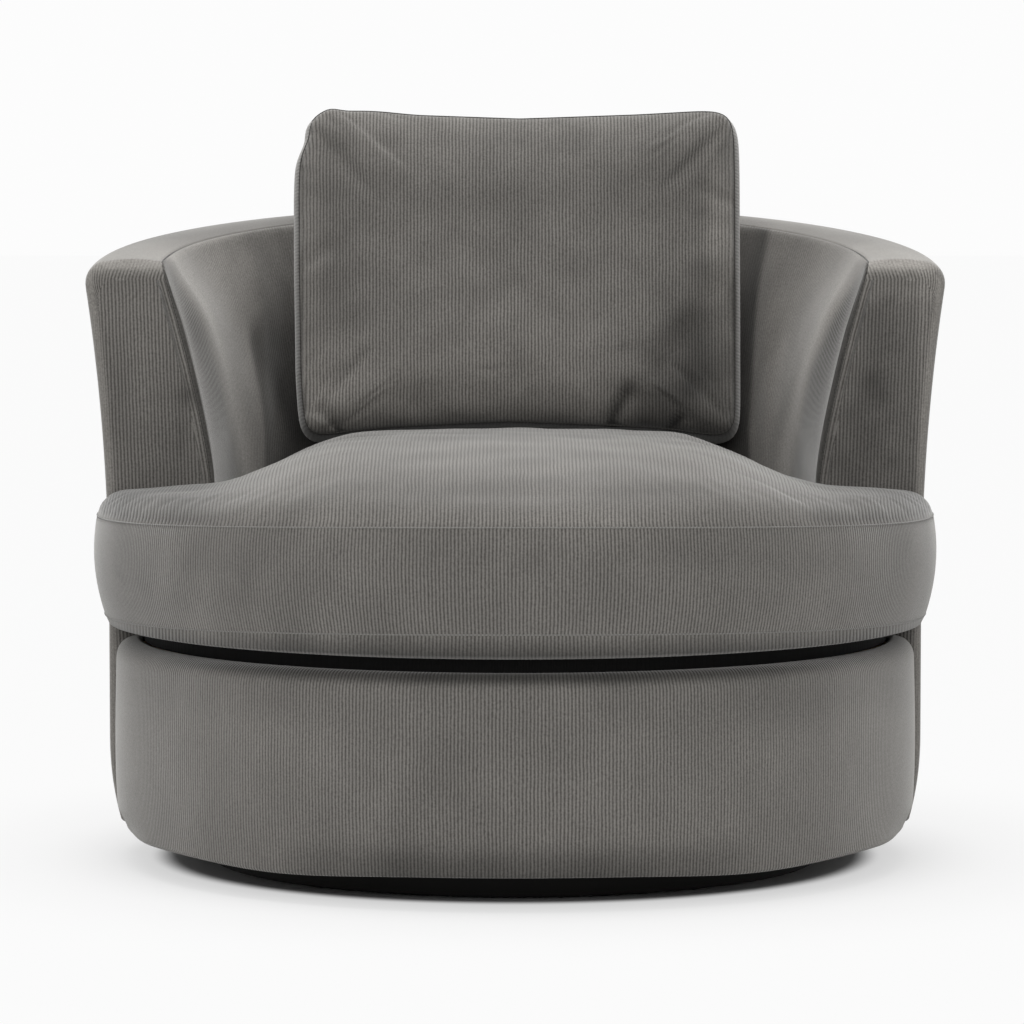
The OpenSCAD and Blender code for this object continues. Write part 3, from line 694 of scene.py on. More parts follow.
def arm_front(way):
    """The arm's front face and its rounded outer edge, from the hem to the brow."""
    rim = sections[0] * (way, 1, 1)
    corner = roll_points + flat_points
    across = np.abs(rim[roll_points:corner + 1, 0])
    across = (across - across[0]) / (across[-1] - across[0])
    top = rim[corner][2]
    rows, ribs = [], []
    for x, y, z in rim[corner:-foot_points - hem_points][::-1]:
        inner_x = float(well_at(z)) if z > deck_z else apron_side
        xs = inner_x + seam_roll + (abs(x) - inner_x - seam_roll) * across
        puff = front_puff * np.sqrt(np.clip(4 * across * (1 - across), 0, 1))
        puff *= float(smooth_step((top - z) / front_puff_top))
        row = [(inner_x + ex, ey) for ex, ey in seam_fold()] + list(zip(xs, -puff))
        rows.append([(way * px, py, z) for px, py in row])
        px = np.array(row)[:, 0]
        share = smooth_step((px - inner_x - strip_w) / strip_blend)
        ribs.append(spread_ribs(px - front_lean * z * share - (inner_x - well_r) * (1 - share), z))
    face = lay_panel("face", np.array(rows), np.array(ribs))
    caps = slice(0, cap_steps + 1) if way > 0 else slice(-cap_steps - 1, None)
    places = sections[caps, band_last:]
    steps = np.linalg.norm(np.diff(places, axis=0), axis=2)
    around = np.concatenate([np.zeros((1, steps.shape[1])), np.cumsum(steps, axis=0)])
    if way < 0:
        around = around[-1:] - around
    around = around + np.abs(rim[band_last:, 0]) - front_lean * places[:, :, 2]
    return [face, lay_panel("edge", places, spread_ribs(around, places[:, :, 2]))]


shell_cover = sew("shell_cover", [band, outer] + arm_front(1) + arm_front(-1), 0.0004)
points = read_points(shell_cover)
x, y, z = points.T
right = x > 0
on_front = y < 0.004
near_top = fade_in(z - arm_h - y * math.tan(top_slope), -0.016, 0.012)
outer_edge = fade_in(np.hypot(x, y) - shell_at(z), -0.014, 0.006) * (y < 0.016) * (1 - near_top)
# Painted light: the arm tops are lighter, most near the front and on the right arm. On the arm fronts this
# is halved, and a painted sheen strip runs down their outer edges.
pile_and_painted_light = near_top * (0.04 + 0.40 * fade_out(y, 0, 0.22) + right * (0.12 + 0.22 * fade_out(y, 0, 0.22)))
pile_and_painted_light *= 1 - on_front * 0.5
pile_and_painted_light += 0.05 * ripple(points, 0.09, 3) + 0.45 * outer_edge
pile_and_painted_light += on_front * blots(points, (
    (5, (-0.390, 0, 0.551), (0.016, 1, 0.014), -0.42),
    (6, (-0.398, 0, 0.500), (0.008, 1, 0.040), -0.16),
    (7, (-0.430, 0, 0.541), (0.050, 1, 0.004), -0.22, 0.15),
    (8, (-0.470, 0, 0.560), (0.018, 1, 0.030), -0.12),
    (9, (0.425, 0, 0.600), (0.022, 1, 0.075), -0.20),
    (10, (0.412, 0, 0.500), (0.030, 1, 0.060), -0.24)))
# On the right arm front the pile is darker, with painted light on its outer edge and near its top.
pile_and_painted_light += on_front * right * (0.30 * fade_in(x, 0.474, 0.010) - 0.14 + 0.20 * fade_in(z, 0.655, 0.02))
# Painted shade: the far part of each arm's top is darker, the left one more.
pile_and_painted_light -= near_top * np.where(right, 0.08 * fade_in(y, 0.16, 0.14), 0.30 * fade_in(y, 0.07, 0.18))
sleek = 0.75 * near_top * (y > 0.0) + 0.55 * (y > 0.02) + 0.8 * outer_edge
paint_pile_and_light(shell_cover, pile_and_painted_light, np.clip(sleek, 0, 1))
finish_piece(shell_cover, "chair_body", "cord_cloth",
             ("outer_cover", "top_band", "top_pad", "arm_facing_left", "arm_facing_right"))

# %% [markdown]
# ## The inner arms and back
#
# The lining of the well is one padded panel. It is pulled in along the arm fronts and under the
# band, and swells between, so light runs down it in a soft ridge, which a painted highlight
# strengthens. It could be blown up by a cloth simulation, but its swell is even, so each point is
# simply moved in by an amount that grows with its distance from the seams. It stays clear of the
# seat cushion, which is lifted out past it.

# %% Inner cover
lining_columns, lining_rows = 260, 60
lining_swell = 0.019
ridge_top, ridge_lean = 0.062, 0.39   # the swell's ridge at the rim, and how it moves back below it
ridge_fall, ridge_fall_w = 0.62, 0.13   # past the ridge the swell falls by this share, over this width
edge_lift, edge_lift_w = 0.005, 0.008   # the padding's lift at the arm fronts, and its width
rim_share, rim_w, rim_fade = 0.30, 0.010, 0.09   # below the rim the swell grows in two steps
lining_tuck = 0.0015
cushion_clear = 0.3575   # the lining never comes nearer to the axis than this
lining_edge = 0.002      # the lining starts this far behind the arm fronts
lining_foot = 0.262
lining_r = 0.40          # a middle radius, to measure lengths round the well


def rim_height(turn):
    """The wall's top edge inside, at each angle round the well."""
    height = np.full(len(turn), arm_h)
    for _ in range(settle_rounds):
        height = arm_h + well_at(height) * np.sin(turn) * math.tan(top_slope)
    return height


def soft_fold(from_front, z, middle, lean, width, depth):
    """A shallow fold that runs down the panel; lean moves it sideways with height."""
    return depth * peak(from_front - lean * (z - 0.55), middle, width)


share = np.linspace(0, 1, lining_columns + 1)
turn = math.pi * share - 0.30 * np.sin(2 * math.pi * share)   # closer columns at the arm fronts
turn = lining_edge / lining_r + turn * (1 - 2 * lining_edge / lining_r / math.pi)
top_z = rim_height(turn)
brow_in = np.clip(well_at(top_z) * np.sin(turn), 0, brow_round)
top_z -= brow_round * (1 - quarter(brow_in / brow_round))
down = 1 - np.linspace(0, 1, lining_rows + 1) ** 1.25
z = lining_foot + (top_z[:, None] - 0.001 - lining_foot) * down
from_front = lining_r * np.minimum(turn, math.pi - turn)[:, None] - lining_edge + 0 * z
from_top = top_z[:, None] - z
ridge = ridge_top + ridge_lean * (rim_z - z)
swell = (edge_lift * quarter(from_front / edge_lift_w) + lining_swell * smooth_step(from_front / ridge)
         * (1 - ridge_fall * smooth_step((from_front - ridge) / ridge_fall_w)))
swell *= rim_share * quarter(from_top / rim_w) + (1 - rim_share) * smooth_step(from_top / rim_fade)
folds = (soft_fold(from_front, z, 0.225, 0.30, 0.014, 0.0022)
         - soft_fold(from_front, z, 0.265, 0.42, 0.018, 0.0030))
swell += folds * smooth_step(from_top / 0.05)
room = np.maximum(well_at(z) - cushion_clear, 0.0004)
swell = room * np.tanh(swell / room)
swell -= lining_tuck * (1 - quarter(np.minimum(from_front, from_top) / 0.006))
inner_lining = one_panel("inner_lining", carry_round(well_at(z) - swell, turn, z),
                         spread_ribs(lining_r * turn[:, None], z))
give_wall(inner_lining, 0.003)
points = read_points(inner_lining)
x, y, z = points.T
angle = np.arctan2(y, x)
back_from = lining_r * np.minimum(angle, math.pi - angle) - lining_edge
past = back_from - ridge_top - ridge_lean * (rim_z - z) - 0.006 * ripple(points, 0.12, 21)
left = x < 0
low = fade_out(z, 0.60, 0.06)
blur = 0.012 + 0.055 * (1 - low)
shown = fade_out(back_from, 0.285, 0.065)    # what the back cushion leaves in sight
# Painted light and shade: a dark strip along the arm front, a light ridge, a lighter plain stretch
# behind it, and painted shadow far in beside the cushion on both sides.
pile_and_painted_light = -np.where(left, 0.44, 0.68) * fade_out(past, -0.046, 0.034)
pile_and_painted_light += (0.56 - 0.18 * fade_in(z, 0.62, 0.05)) * peak(past, 0, 0.026)
pile_and_painted_light += np.where(left, 0.34, 0.10) * fade_in(past, -0.01, 0.02) * fade_out(back_from, 0.211, blur)
slanted = np.stack([past, z * 0.22, 0 * angle], -1)
pile_and_painted_light += 0.08 * ripple(slanted, 0.045, 24) * fade_in(past, 0, 0.04)
ragged = 0.012 * ripple(points, 0.07, 22) * (1 - low)
pile_and_painted_light -= left * shown * (fade_in(back_from - ragged, 0.206, blur) * (0.26 + 0.22 * low)
                       + low * 0.26 * fade_in(back_from, 0.240, 0.030))
pile_and_painted_light += ~left * shown * 0.30 * fade_in(back_from, 0.17, 0.05) * fade_out(z, 0.64, 0.05)
# Behind the right edge of the back cushion the lining is painted dark, as its shadow.
hidden = ~left * fade_in(back_from - 0.16 * (z - 0.55), 0.257, 0.012)
pile_and_painted_light = pile_and_painted_light * (1 - hidden) - 0.66 * hidden * shown
pile_and_painted_light = np.maximum(pile_and_painted_light + 0.03 * ripple(points, 0.06, 23), -0.9)
paint_pile_and_light(inner_lining, pile_and_painted_light, 0.42 + 0.36 * fade_in(past, -0.045, 0.030))
finish_piece(inner_lining, "chair_body", "cord_cloth", ("inner_cover",))

seam_out = 0.0015        # the seam lies this far outside the lining
line = [(-float(well_at(z)) - seam_out, 0.0022, z)
        for z in np.linspace(deck_top + 0.03, arm_h - brow_round, 40)]
for a in np.linspace(0, math.pi / 2, 8)[1:-1]:
    z = arm_h - brow_round * (1 - math.sin(a))
    line.append((-float(well_at(z)) - seam_out, 0.002 + brow_round * (1 - math.cos(a)), z - 0.001))
turn = np.linspace(math.pi - first_turn, math.pi / 2, 60)
top_z = rim_height(turn)
line += [(math.cos(a) * r, math.sin(a) * r, z - 0.0025)
         for a, r, z in zip(turn, well_at(top_z) + seam_out, top_z)]
line = np.array(line)
line = np.vstack([line, (line * (-1, 1, 1))[-2::-1]])
inner_seam = seam_tube("inner_seam", line, 0.0011)
finish_piece(inner_seam, "chair_body", "cord_cloth", finish=seam_shadow_edge)

# %% [markdown]
# ## The front apron
#
# The apron is a separate curved panel between the arm fronts. Its top is rolled over the front
# rail, its foot is turned in under the base, and its ends are tucked in against the shell, which
# leaves a fine dark gap there. Its section is carried round the front like the wall's.

# %% Apron
apron_r = 0.4745
apron_top = 0.266
apron_round = 0.023
apron_foot = 0.006
apron_fold_r = 0.444
apron_gap = 0.0015
apron_belly = 0.0018     # the section swells this much in the middle
hem_draw = 0.0080        # the hem's edge draws in towards the arm fronts
base_clear = 0.4612      # but stays outside the base board
hem_ease, hem_ease_h = 0.0030, 0.075   # and the whole foot draws in a little
hem_edge_z, hem_edge_h = 0.068, 0.022  # the hem's edge ends at this height and grows over that one
draw_from, draw_over = 64, 14          # in degrees from the middle
base_top = 0.0459
hem_sag = 0.0060         # the hem hangs lower on both sides of the middle
sag_at, sag_width = 35, 15             # in degrees from the middle
sag_z, sag_h = 0.11, 0.07              # the sag fades out up to this height, over that one
apron_columns = 200
tuck_reach = 0.016       # the ends draw in over this length
tuck_depth = 0.009

low, high = hem_z + apron_foot, apron_top - apron_round
upright = np.linspace(0, 1, 29)[1:]
section = np.vstack([
    [(hem_turn, hem_z + hem_up), (hem_turn, hem_z)],
    arc((apron_r - apron_foot, low), apron_foot, -90, 0, 5),
    np.stack([apron_r + apron_belly * np.sin(math.pi * upright), low + (high - low) * upright], -1),
    arc((apron_r - apron_round, high), apron_round, 0, 90, 10)[1:],
    [(apron_fold_r + 0.006, apron_top), (apron_fold_r, apron_top - 0.002),
     (apron_fold_r, apron_top - 0.008)]])
out, up = section.T
share = np.linspace(0, 1, apron_columns + 1)
share = share - 0.54 * np.sin(2 * math.pi * share) / (2 * math.pi)   # closer columns at the ends
end_turn = apron_gap / apron_r
turn = math.pi + end_turn + (math.pi - 2 * end_turn) * share
from_end = apron_r * np.minimum(turn - math.pi, 2 * math.pi - turn) - apron_gap
off_middle = np.degrees(np.arccos(-np.sin(turn)))
tuck = 1 - quarter(from_end / tuck_reach)[:, None]
hem_edge = np.clip((hem_edge_z - up) / hem_edge_h, 0, 1) ** 1.2
draw = hem_draw * fade_in(off_middle, draw_from, draw_over)[:, None] * hem_edge
draw = draw + hem_ease * np.clip((hem_z + hem_ease_h - up) / hem_ease_h, 0, 1) ** 2
radius = out - (tuck_depth * tuck + draw) * smooth_step((out - apron_fold_r) / 0.02)
on_board = (up >= base_top) & (out > apron_r - 0.002)
radius = np.where(on_board, np.maximum(radius, base_clear), radius)
sag = 0.001 + hem_sag * peak(off_middle, sag_at, sag_width)[:, None]
z = up - 0.002 * tuck * fade_in(up, 0.20, 0.06) - sag * np.clip((sag_z - up) / sag_h, 0, 1)
apron = one_panel("apron", carry_round(radius, turn, z),
                  spread_ribs(apron_r * turn[:, None], travelled(section)))
give_wall(apron, 0.0025)
points = read_points(apron)
side, height = np.abs(points[:, 0]), points[:, 2]
aside = fade_in(side, 0.33, 0.12)
# Painted light and shade with a faint ripple of pile: lighter towards both ends, more on the right, and low
# down away from the middle; painted shadow of the seat cushion along the top, a thin painted highlight on
# the fold below it, and darker towards the hem in the middle.
pile_and_painted_light = 0.04 * ripple(points, 0.11, 31) + np.where(points[:, 0] < 0, 0.08, 0.24) * aside
pile_and_painted_light += 0.14 * fade_in(side, 0.10, 0.10) * fade_out(height, 0.18, 0.05)
pile_and_painted_light -= 0.60 * fade_in(height, 0.250, 0.012) * (1 - 0.6 * aside)
pile_and_painted_light += 0.12 * peak(height, 0.2405, 0.0014)
pile_and_painted_light -= 0.42 * fade_out(height, 0.05, 0.035) * fade_out(side, 0.18, 0.12)
paint_pile_and_light(apron, pile_and_painted_light, 0.85 * fade_in(side, 0.375, 0.085))
finish_piece(apron, "chair_body", "cord_cloth", ("apron_cover", "apron_pad"))

# %% [markdown]
# ## The front board
#
# Behind the apron's foam stands a bent plywood board that carries it. It could stay a plain curved
# block, but the cover is drawn in towards the arm fronts and at the hem, so the board's outer face
# is planed back there by a few millimetres. Its section is a closed loop carried round the front,
# and the two open ends are filled.

# %% Front board
board_in, board_out, board_low, board_high = 0.458, 0.467, 0.046, 0.258
board_thin = 0.001       # the board is nowhere thinner than this
skin_clear = 0.0036      # and lies this far inside the cover's skin
board_z = np.linspace(board_low, board_high, 28)
board_turn = np.linspace(math.pi, 2 * math.pi, 97)
outside = slice(6, 35)   # the section's points from the hem's rounding to the top's
skin = np.array([np.interp(board_z, zs[outside], rs[outside]) for zs, rs in zip(z, radius)])
skin = np.stack([np.interp(board_turn, turn, row) for row in skin.T], -1)
board_face = np.clip(skin - skin_clear, board_in + board_thin, board_out)
loop_r = np.concatenate([board_face, np.full((len(board_turn), 2), board_in), board_face[:, :1]], 1)
loop_z = np.concatenate([board_z, [board_high, board_low, board_low]])
places = carry_round(loop_r, board_turn, loop_z)
front_board = one_panel("front_board_planed", places, places[:, :, :2], fine_gap)
mend(front_board, fill=True)
bpy.ops.object.shade_smooth_by_angle(angle=math.radians(40))
finish_piece(front_board, "chair_body", slot_of["front_board"], ("front_board",))
print("board is", round(float((board_face - board_in).min()) * 1000, 1), "mm thick where it is thinnest")

# %% [markdown]
# ## How the cushions are made
#
# A boxed cushion is three panels: top, a band round the side, and bottom, sewn along two seams and
# stuffed until the panels swell between them. So it is laid out here as rings, from the middle of
# the top over both seams to the middle of the bottom. The seams are pinned, Blender's Cloth blows
# the panels up from inside, and each point may move only a few millimetres, so the cushion keeps
# its size. A voxel remesh would lose the seams, and the rings don't need one.

# %% Cushion helpers
sim_frames = 20
stuffing_pressure = 4.0
cloth_stiffness = 12.0


def spaced(line, count):
    """A closed line through the same points, but evenly spaced, and the spacing."""
    path = np.vstack([line, line[:1]])
    run = travelled(path)
    spread = np.linspace(0, run[-1], count + 1)[:-1]
    return np.stack([np.interp(spread, run, side) for side in path.T], -1), run[-1] / count


def even_outline(corners, points, blur):
    """Points spread evenly on a closed outline, its corners softened over a length."""
    line, gap = spaced(np.asarray(corners, float), points * 4)
    width = max(1, int(blur / gap / 2))
    kernel = np.hanning(2 * width + 3)[1:-1]
    kernel /= kernel.sum()
    wrapped = np.vstack([line[-width:], line, line[:width]])
    line = np.stack([np.convolve(side, kernel, "valid") for side in wrapped.T], -1)
    return spaced(line, points)


def outline_normals(line):
    along = np.roll(line, -1, axis=0) - np.roll(line, 1, axis=0)
    normal = np.stack([along[:, 1], -along[:, 0]], -1)
    return normal / np.linalg.norm(normal, axis=1)[:, None]


def closed(rings):
    return np.concatenate([rings, rings[:, :1]], axis=1)


def ring_panel(rings, ribs):
    """A panel of rings, closed round; the last column repeats the first with its own UV."""
    return lay_panel("rings", np.swapaxes(closed(rings), 0, 1), np.swapaxes(ribs, 0, 1))


def near_seams(points, *seams):
    """Marks the points that lie on the seams."""
    seams = np.vstack(seams)
    tree = KDTree(len(seams))
    for k, p in enumerate(seams):
        tree.insert(Vector(p), k)
    tree.balance()
    return np.array([tree.find(Vector(p))[2] < 0.0002 for p in points])


def blow_up(piece, held, cap):
    """Cloth under pressure from inside; held marks the points that the seams keep in place, and
    no point moves further than cap."""
    start = read_points(piece)
    make_active(piece)
    group = piece.vertex_groups.new(name="seams")
    group.add([int(k) for k in np.nonzero(held)[0]], 1.0, "REPLACE")
    cloth = piece.modifiers.new("stuffing", "CLOTH")
    settings = cloth.settings
    settings.quality = 6
    settings.mass = 0.3
    settings.tension_stiffness = settings.compression_stiffness = cloth_stiffness
    settings.shear_stiffness = cloth_stiffness / 3
    settings.bending_stiffness = 1.0
    settings.use_pressure = True
    settings.uniform_pressure_force = stuffing_pressure
    settings.effector_weights.gravity = 0
    settings.vertex_group_mass = "seams"
    settings.pin_stiffness = 1.0
    cloth.collision_settings.use_collision = False
    cloth.point_cache.frame_start, cloth.point_cache.frame_end = 1, sim_frames
    for step in range(1, sim_frames + 1):
        bpy.context.scene.frame_set(step)
    seen = piece.evaluated_get(bpy.context.evaluated_depsgraph_get())
    moved = read_points(seen) - start
    piece.modifiers.remove(cloth)
    piece.vertex_groups.remove(group)
    bpy.context.scene.frame_set(1)
    moved *= (cap / (np.linalg.norm(moved, axis=1) + cap))[:, None]
    write_points(piece, start + moved)
    swelled = float(np.linalg.norm(moved, axis=1).max())
    print(piece.name, "swelled by", round(swelled * 1000, 1), "mm")

# %% [markdown]
# ## The seat cushion
#
# Its plan is a T: a round front that overhangs the apron, two short wings in front of the arms,
# and a neck that fills the well. The crown is high and level in the middle, falls beside the
# arms, and each wing is a small pillow of its own. The seams sag a little towards the wings.

# %% Seat cushion sizes
seat_r = 0.4965          # radius of the upper seam at the front
seat_draw = 0.0085       # the lower seam lies this much further in
seat_rear_r = 0.3555
wing_back_y = -0.0012
seat_bulge = 0.0075
seat_droop = 0.0062      # the overhang hangs this far below the deck
seat_floor = 0.2888
overhang_low = 0.281     # nothing hangs lower than this
under_round = 0.034      # the underside rounds off over this length in from the seam
upper_seam, upper_sag = 0.431, 0.019
lower_seam, lower_sag = 0.312, 0.017
pillow_h, pillow_w = 0.024, 0.034
crown_h = 0.0508
crown_y = -0.060                      # the crown is highest on this line
crown_front, crown_rear = 0.437, 0.47   # and falls off over these lengths before and behind it
crown_power, crown_edge = 2.3, 0.16
side_from, side_over = 0.190, 0.185   # beside the middle it falls off over this width
seat_columns = 420
seat_middle = np.array([0.0, -0.08])


def seat_depth(x, y):
    """Distance in from the outline of the T."""
    r = np.hypot(x, y)
    front = np.minimum(seat_r - r, wing_back_y - y)
    return np.maximum(np.maximum(front, seat_rear_r - r), 0)


def upper_seam_at(x):
    return upper_seam - upper_sag * (x / seat_r) ** 2


def lower_seam_at(x):
    return lower_seam - lower_sag * (x / seat_r) ** 2


def seat_top_at(x, y):
    along = np.where(y < crown_y, (crown_y - y) / crown_front, (y - crown_y) / crown_rear)
    depth = seat_depth(x, y)
    dome = np.clip(1 - along ** crown_power, 0, 1) * quarter(depth / crown_edge)
    side = fade_out(np.abs(x), side_from, side_over)
    pillow = pillow_h * quarter(depth / pillow_w)
    return upper_seam_at(x) + pillow + crown_h * dome * side


# %% [markdown]
# ## Sewing and stuffing the seat
#
# The T could be cut from a block, but a sewn cover shows its panels. So its outline is drawn once,
# shrunk in steps to give the rings of the top and the underside, and bulged between the seams for
# the side. After the cloth has been blown up, it is held back from the arms, the wall and the deck.

# %% Lay out and stuff the seat cushion
front_arc = arc((0, 0), seat_r, -90, -0.2, 160)
front_arc[:, 1] = np.minimum(front_arc[:, 1], wing_back_y)
right_half = np.vstack([front_arc, arc((0, 0), seat_rear_r, 0.2, 90, 120)])
left_half = (right_half * (-1, 1))[::-1]
outline, seat_step = even_outline(np.vstack([right_half, left_half[1:-1]]), seat_columns, 0.022)
outline = np.roll(outline, -np.argmax(outline[:, 1]), axis=0)
normals = outline_normals(outline)
run = np.arange(seat_columns + 1) * seat_step
out_front = fade_in(np.linalg.norm(outline, axis=1) - seat_rear_r, 0.004, 0.025)
upper_z, lower_z = upper_seam_at(outline[:, 0]), lower_seam_at(outline[:, 0])

near_edge = np.array([0.115, 0.092, 0.072, 0.055, 0.040, 0.028, 0.018, 0.010, 0.004, 0.0])
inward = np.concatenate([np.linspace(0, 0.86, 30), 1 - near_edge])
rings = seat_middle + (outline - seat_middle) * inward[:, None, None]
top_z = seat_top_at(rings[:, :, 0], rings[:, :, 1])
top_z[-1] = upper_z
top_rings = np.dstack([rings, top_z])

levels = np.linspace(0, 1, 17)[:, None]
bulge = seat_bulge * (1 - (2 * levels - 1) ** 2) - seat_draw * levels
side_z = upper_z * (1 - levels) + lower_z * levels
side_xy = outline + normals * (bulge * out_front)[:, :, None]
side_xy[:, :, 1] = np.where(out_front > 0, np.minimum(side_xy[:, :, 1], wing_back_y), side_xy[:, :, 1])
side_rings = np.dstack([side_xy, side_z])

under = np.concatenate([[0, 0.010, 0.022, 0.036, 0.052, 0.072], np.linspace(0.10, 1, 22)])
under_xy = side_xy[-1] + (seat_middle - side_xy[-1]) * under[:, None, None]
drop = quarter(seat_depth(under_xy[:, :, 0], under_xy[:, :, 1]) / under_round)
drop[0] = 0
under_r = np.hypot(under_xy[:, :, 0], under_xy[:, :, 1])
sagging = fade_in(under_r - rim_front, 0.002, 0.014) * out_front
under_z = lower_z * (1 - drop) + (seat_floor - seat_droop * sagging) * drop
under_rings = np.dstack([under_xy, under_z])

seat = sew("seat_cushion", [ring_panel(top_rings, closed(rings)),
                            ring_panel(side_rings, spread_ribs(run, closed(side_z))),
                            ring_panel(under_rings, closed(under_xy))], fine_gap)
points = read_points(seat)
held = near_seams(points, side_rings[0], side_rings[-1]) | (points[:, 2] < seat_floor + 0.0005)
print("held points", int(held.sum()), "of", len(points))
blow_up(seat, held, cap=0.006)
points = read_points(seat)
x, y, z = points.T                       # views, so what they are given goes into points
radius = np.hypot(x, y)
# Known fault: y has no upper end here, so once the cloth has swelled beyond seat_rear_r the side
# of the neck is caught too and the cushion tears open at the back.
wing = (radius > seat_rear_r) & (y > wing_back_y - 0.03)
y[wing] = np.minimum(y[wing], wing_back_y)
neck = (y > wing_back_y + 0.0001) & (radius > seat_rear_r)
points[:, :2] *= np.where(neck, seat_rear_r / np.maximum(radius, 1e-6), 1)[:, None]
over_deck = (np.hypot(x, y) < rim_front + 0.002) | (y > 0)
z[:] = np.maximum(z, np.where(over_deck, seat_floor - 0.0002, overhang_low))
z += 0.0006 * ripple(points, 0.10, 41) * (z > seat_floor + 0.004)
write_points(seat, points)
front = y < 0.01
side = np.abs(x)
over_seam = z - upper_seam_at(x)
upper = fade_in(over_seam, 0, 0.003)
lower = smooth_step((lower_seam_at(x) - z) / 0.003) * front
boxing = front * (1 - upper)
wings = fade_in(side, 0.25, 0.14) * (y < 0)
# Painted light and shade with pile patches: painted shade below the lower seam, over the top towards the
# back and on the wings, a painted highlight just above the upper seam with a darker band behind it, painted
# light low on the boxing near each side, the boxing's right end lighter and its left end darker, and darker
# patches of pile.
pile_and_painted_light = 0.05 * ripple(points, 0.10, 42) - 0.52 * lower
pile_and_painted_light -= upper * (0.05 + 0.42 * wings * fade_in(y, -0.40, 0.06) + 0.42 * fade_in(y, -0.24, 0.18))
pile_and_painted_light += upper * (1 - wings) * (0.22 * front * peak(over_seam, 0, 0.014) - 0.10 * peak(y, -0.43, 0.05))
pile_and_painted_light += boxing * (0.14 * peak(side, 0.34, 0.05) * fade_out(z, 0.355, 0.03)
                 + np.where(x < 0, -0.08, 0.06) * fade_in(side, 0.42, 0.06))
pile_and_painted_light += upper * blots(points, [(45, (-0.43, -0.16, 0.436), (0.10, 0.07, 0.03), -0.10)])
pile_and_painted_light += boxing * blots(points, (
    (43, (-0.485, -0.08, 0.335), (0.06, 0.08, 0.028), -0.24),
    (44, (-0.30, -0.38, 0.345), (0.05, 0.05, 0.020), -0.10),
    (46, (0.10, -0.46, 0.400), (0.14, 0.1, 0.012), -0.10)))
paint_pile_and_light(seat, pile_and_painted_light, 0.85 * front * (1 - 0.55 * upper) * fade_in(side, 0.39, 0.08))
finish_piece(seat, "seat_cushion", "cord_cloth",
             ("seat_foam", "seat_top_panel", "seat_boxing", "seat_bottom_panel"))

sink = np.column_stack([normals, 0 * run[1:]]) * 0.0003 * out_front[:, None]
for label, ring in (("seat_upper_seam", side_rings[0]), ("seat_lower_seam", side_rings[-1])):
    tube = seam_tube(label, ring - sink, 0.0010, closed=True)
    finish_piece(tube, "seat_cushion", "cord_cloth", finish=seam_edge)

# %% [markdown]
# ## The back cushion
#
# Two panels and a gusset between them. The fibre filling pushes the front panel out into a soft
# belly, the top corners stand up as small ears, and the lower edge rides up on the crown of the
# seat. It is laid out upright in a frame of its own and then leaned back against the wall.

# %% Back cushion sizes
back_lean = math.radians(8)
back_foot = np.array([0.0, 0.1986, 0.475])
back_shift = 0.0020
back_half_w, back_half_h = 0.2665, 0.1980
back_mid_z = 0.2090
back_corner = 20         # power of the outline's rounded corners; the upper two are rounder
back_corner_left, back_corner_right = 13.5, 17
back_ears = 0.0115
back_arch = 0.0195       # the crown of the seat lifts the middle of the lower edge
back_seam_y = 0.042
gusset_bulge = 0.0085
belly, belly_pillow = 0.022, 0.024
rump, rump_pillow = 0.034, 0.024
pillow_reach = 0.045     # a face rises from its seam over this length
back_depth = 0.21        # from a face's middle out to its seam
seat_touch, seat_soft = 0.0015, 0.006   # the cushion stays this clear of the seat, and bends over that
back_columns = 400
back_middle = np.array([0.0, 0.205])


def lean(points):
    """From the cushion's own frame to the chair's."""
    x, y, z = np.moveaxis(np.asarray(points, float), -1, 0)
    c, s = math.cos(back_lean), math.sin(back_lean)
    return np.stack([x, y * c + z * s, z * c - y * s], -1) + back_foot


def arch(x, power=1.0):
    """How far the lower edge is lifted, x as a share of the half width."""
    return back_arch * np.clip(1 - x ** 2, 0, 1) ** power


def back_edge():
    """The cushion seen from the front: soft corners with ears, an arched lower edge, small dips."""
    turn = np.linspace(0, 2 * math.pi, 1200, endpoint=False)
    c, s = np.cos(turn), np.sin(turn)
    power = np.where(turn > math.pi, back_corner, np.where(c < 0, back_corner_left, back_corner_right))
    cx = np.sign(c) * np.abs(c) ** (2 / power)
    cz = np.sign(s) * np.abs(s) ** (2 / power)
    left, upper, low = cx < 0, cz > 0.5, np.clip(-cz, 0, 1)
    x = back_half_w * cx * (1 - np.where(left, 0.034, 0.002) * low ** 2
                            - np.where(left, 0.028, 0.008) * np.clip(cz, 0, 1) ** 4)
    z = back_mid_z + back_half_h * cz
    z += np.where(cz > 0, back_ears * cx ** 2 - 0.003, arch(cx, 1.2))
    z += upper * (0.0040 * peak(x, -0.229, 0.014) + 0.0025 * peak(x, -0.175, 0.040))
    x += 0.0072 * left * (cz > 0) * peak(z, 0.381, 0.020)
    z -= upper * (0.0026 * peak(x, 0.020, 0.022) + 0.0014 * peak(x, 0.086, 0.012))
    x -= 0.0035 * np.sign(cx) * (np.abs(cx) > 0.8) * peak(z, 0.235, 0.014)
    return np.stack([x, z], -1)


def creases(x, z, folds):
    """Sums how far folds draw the cloth in. Each is a start, an end, a width and a depth, and is
    sharp on one side."""
    drawn = 0
    for start, end, width, depth in folds:
        way = np.subtract(end, start)
        reach = np.linalg.norm(way)
        way = way / reach
        along = ((x - start[0]) * way[0] + (z - start[1]) * way[1]) / reach
        off = (z - start[1]) * way[0] - (x - start[0]) * way[1]
        near = peak(off, 0, np.where(off > 0, width, width * 0.45))
        ends = smooth_step(along / 0.35 + 0.5) * smooth_step((1 - along) / 0.35 + 0.5)
        drawn = drawn + depth * near * ends
    return drawn

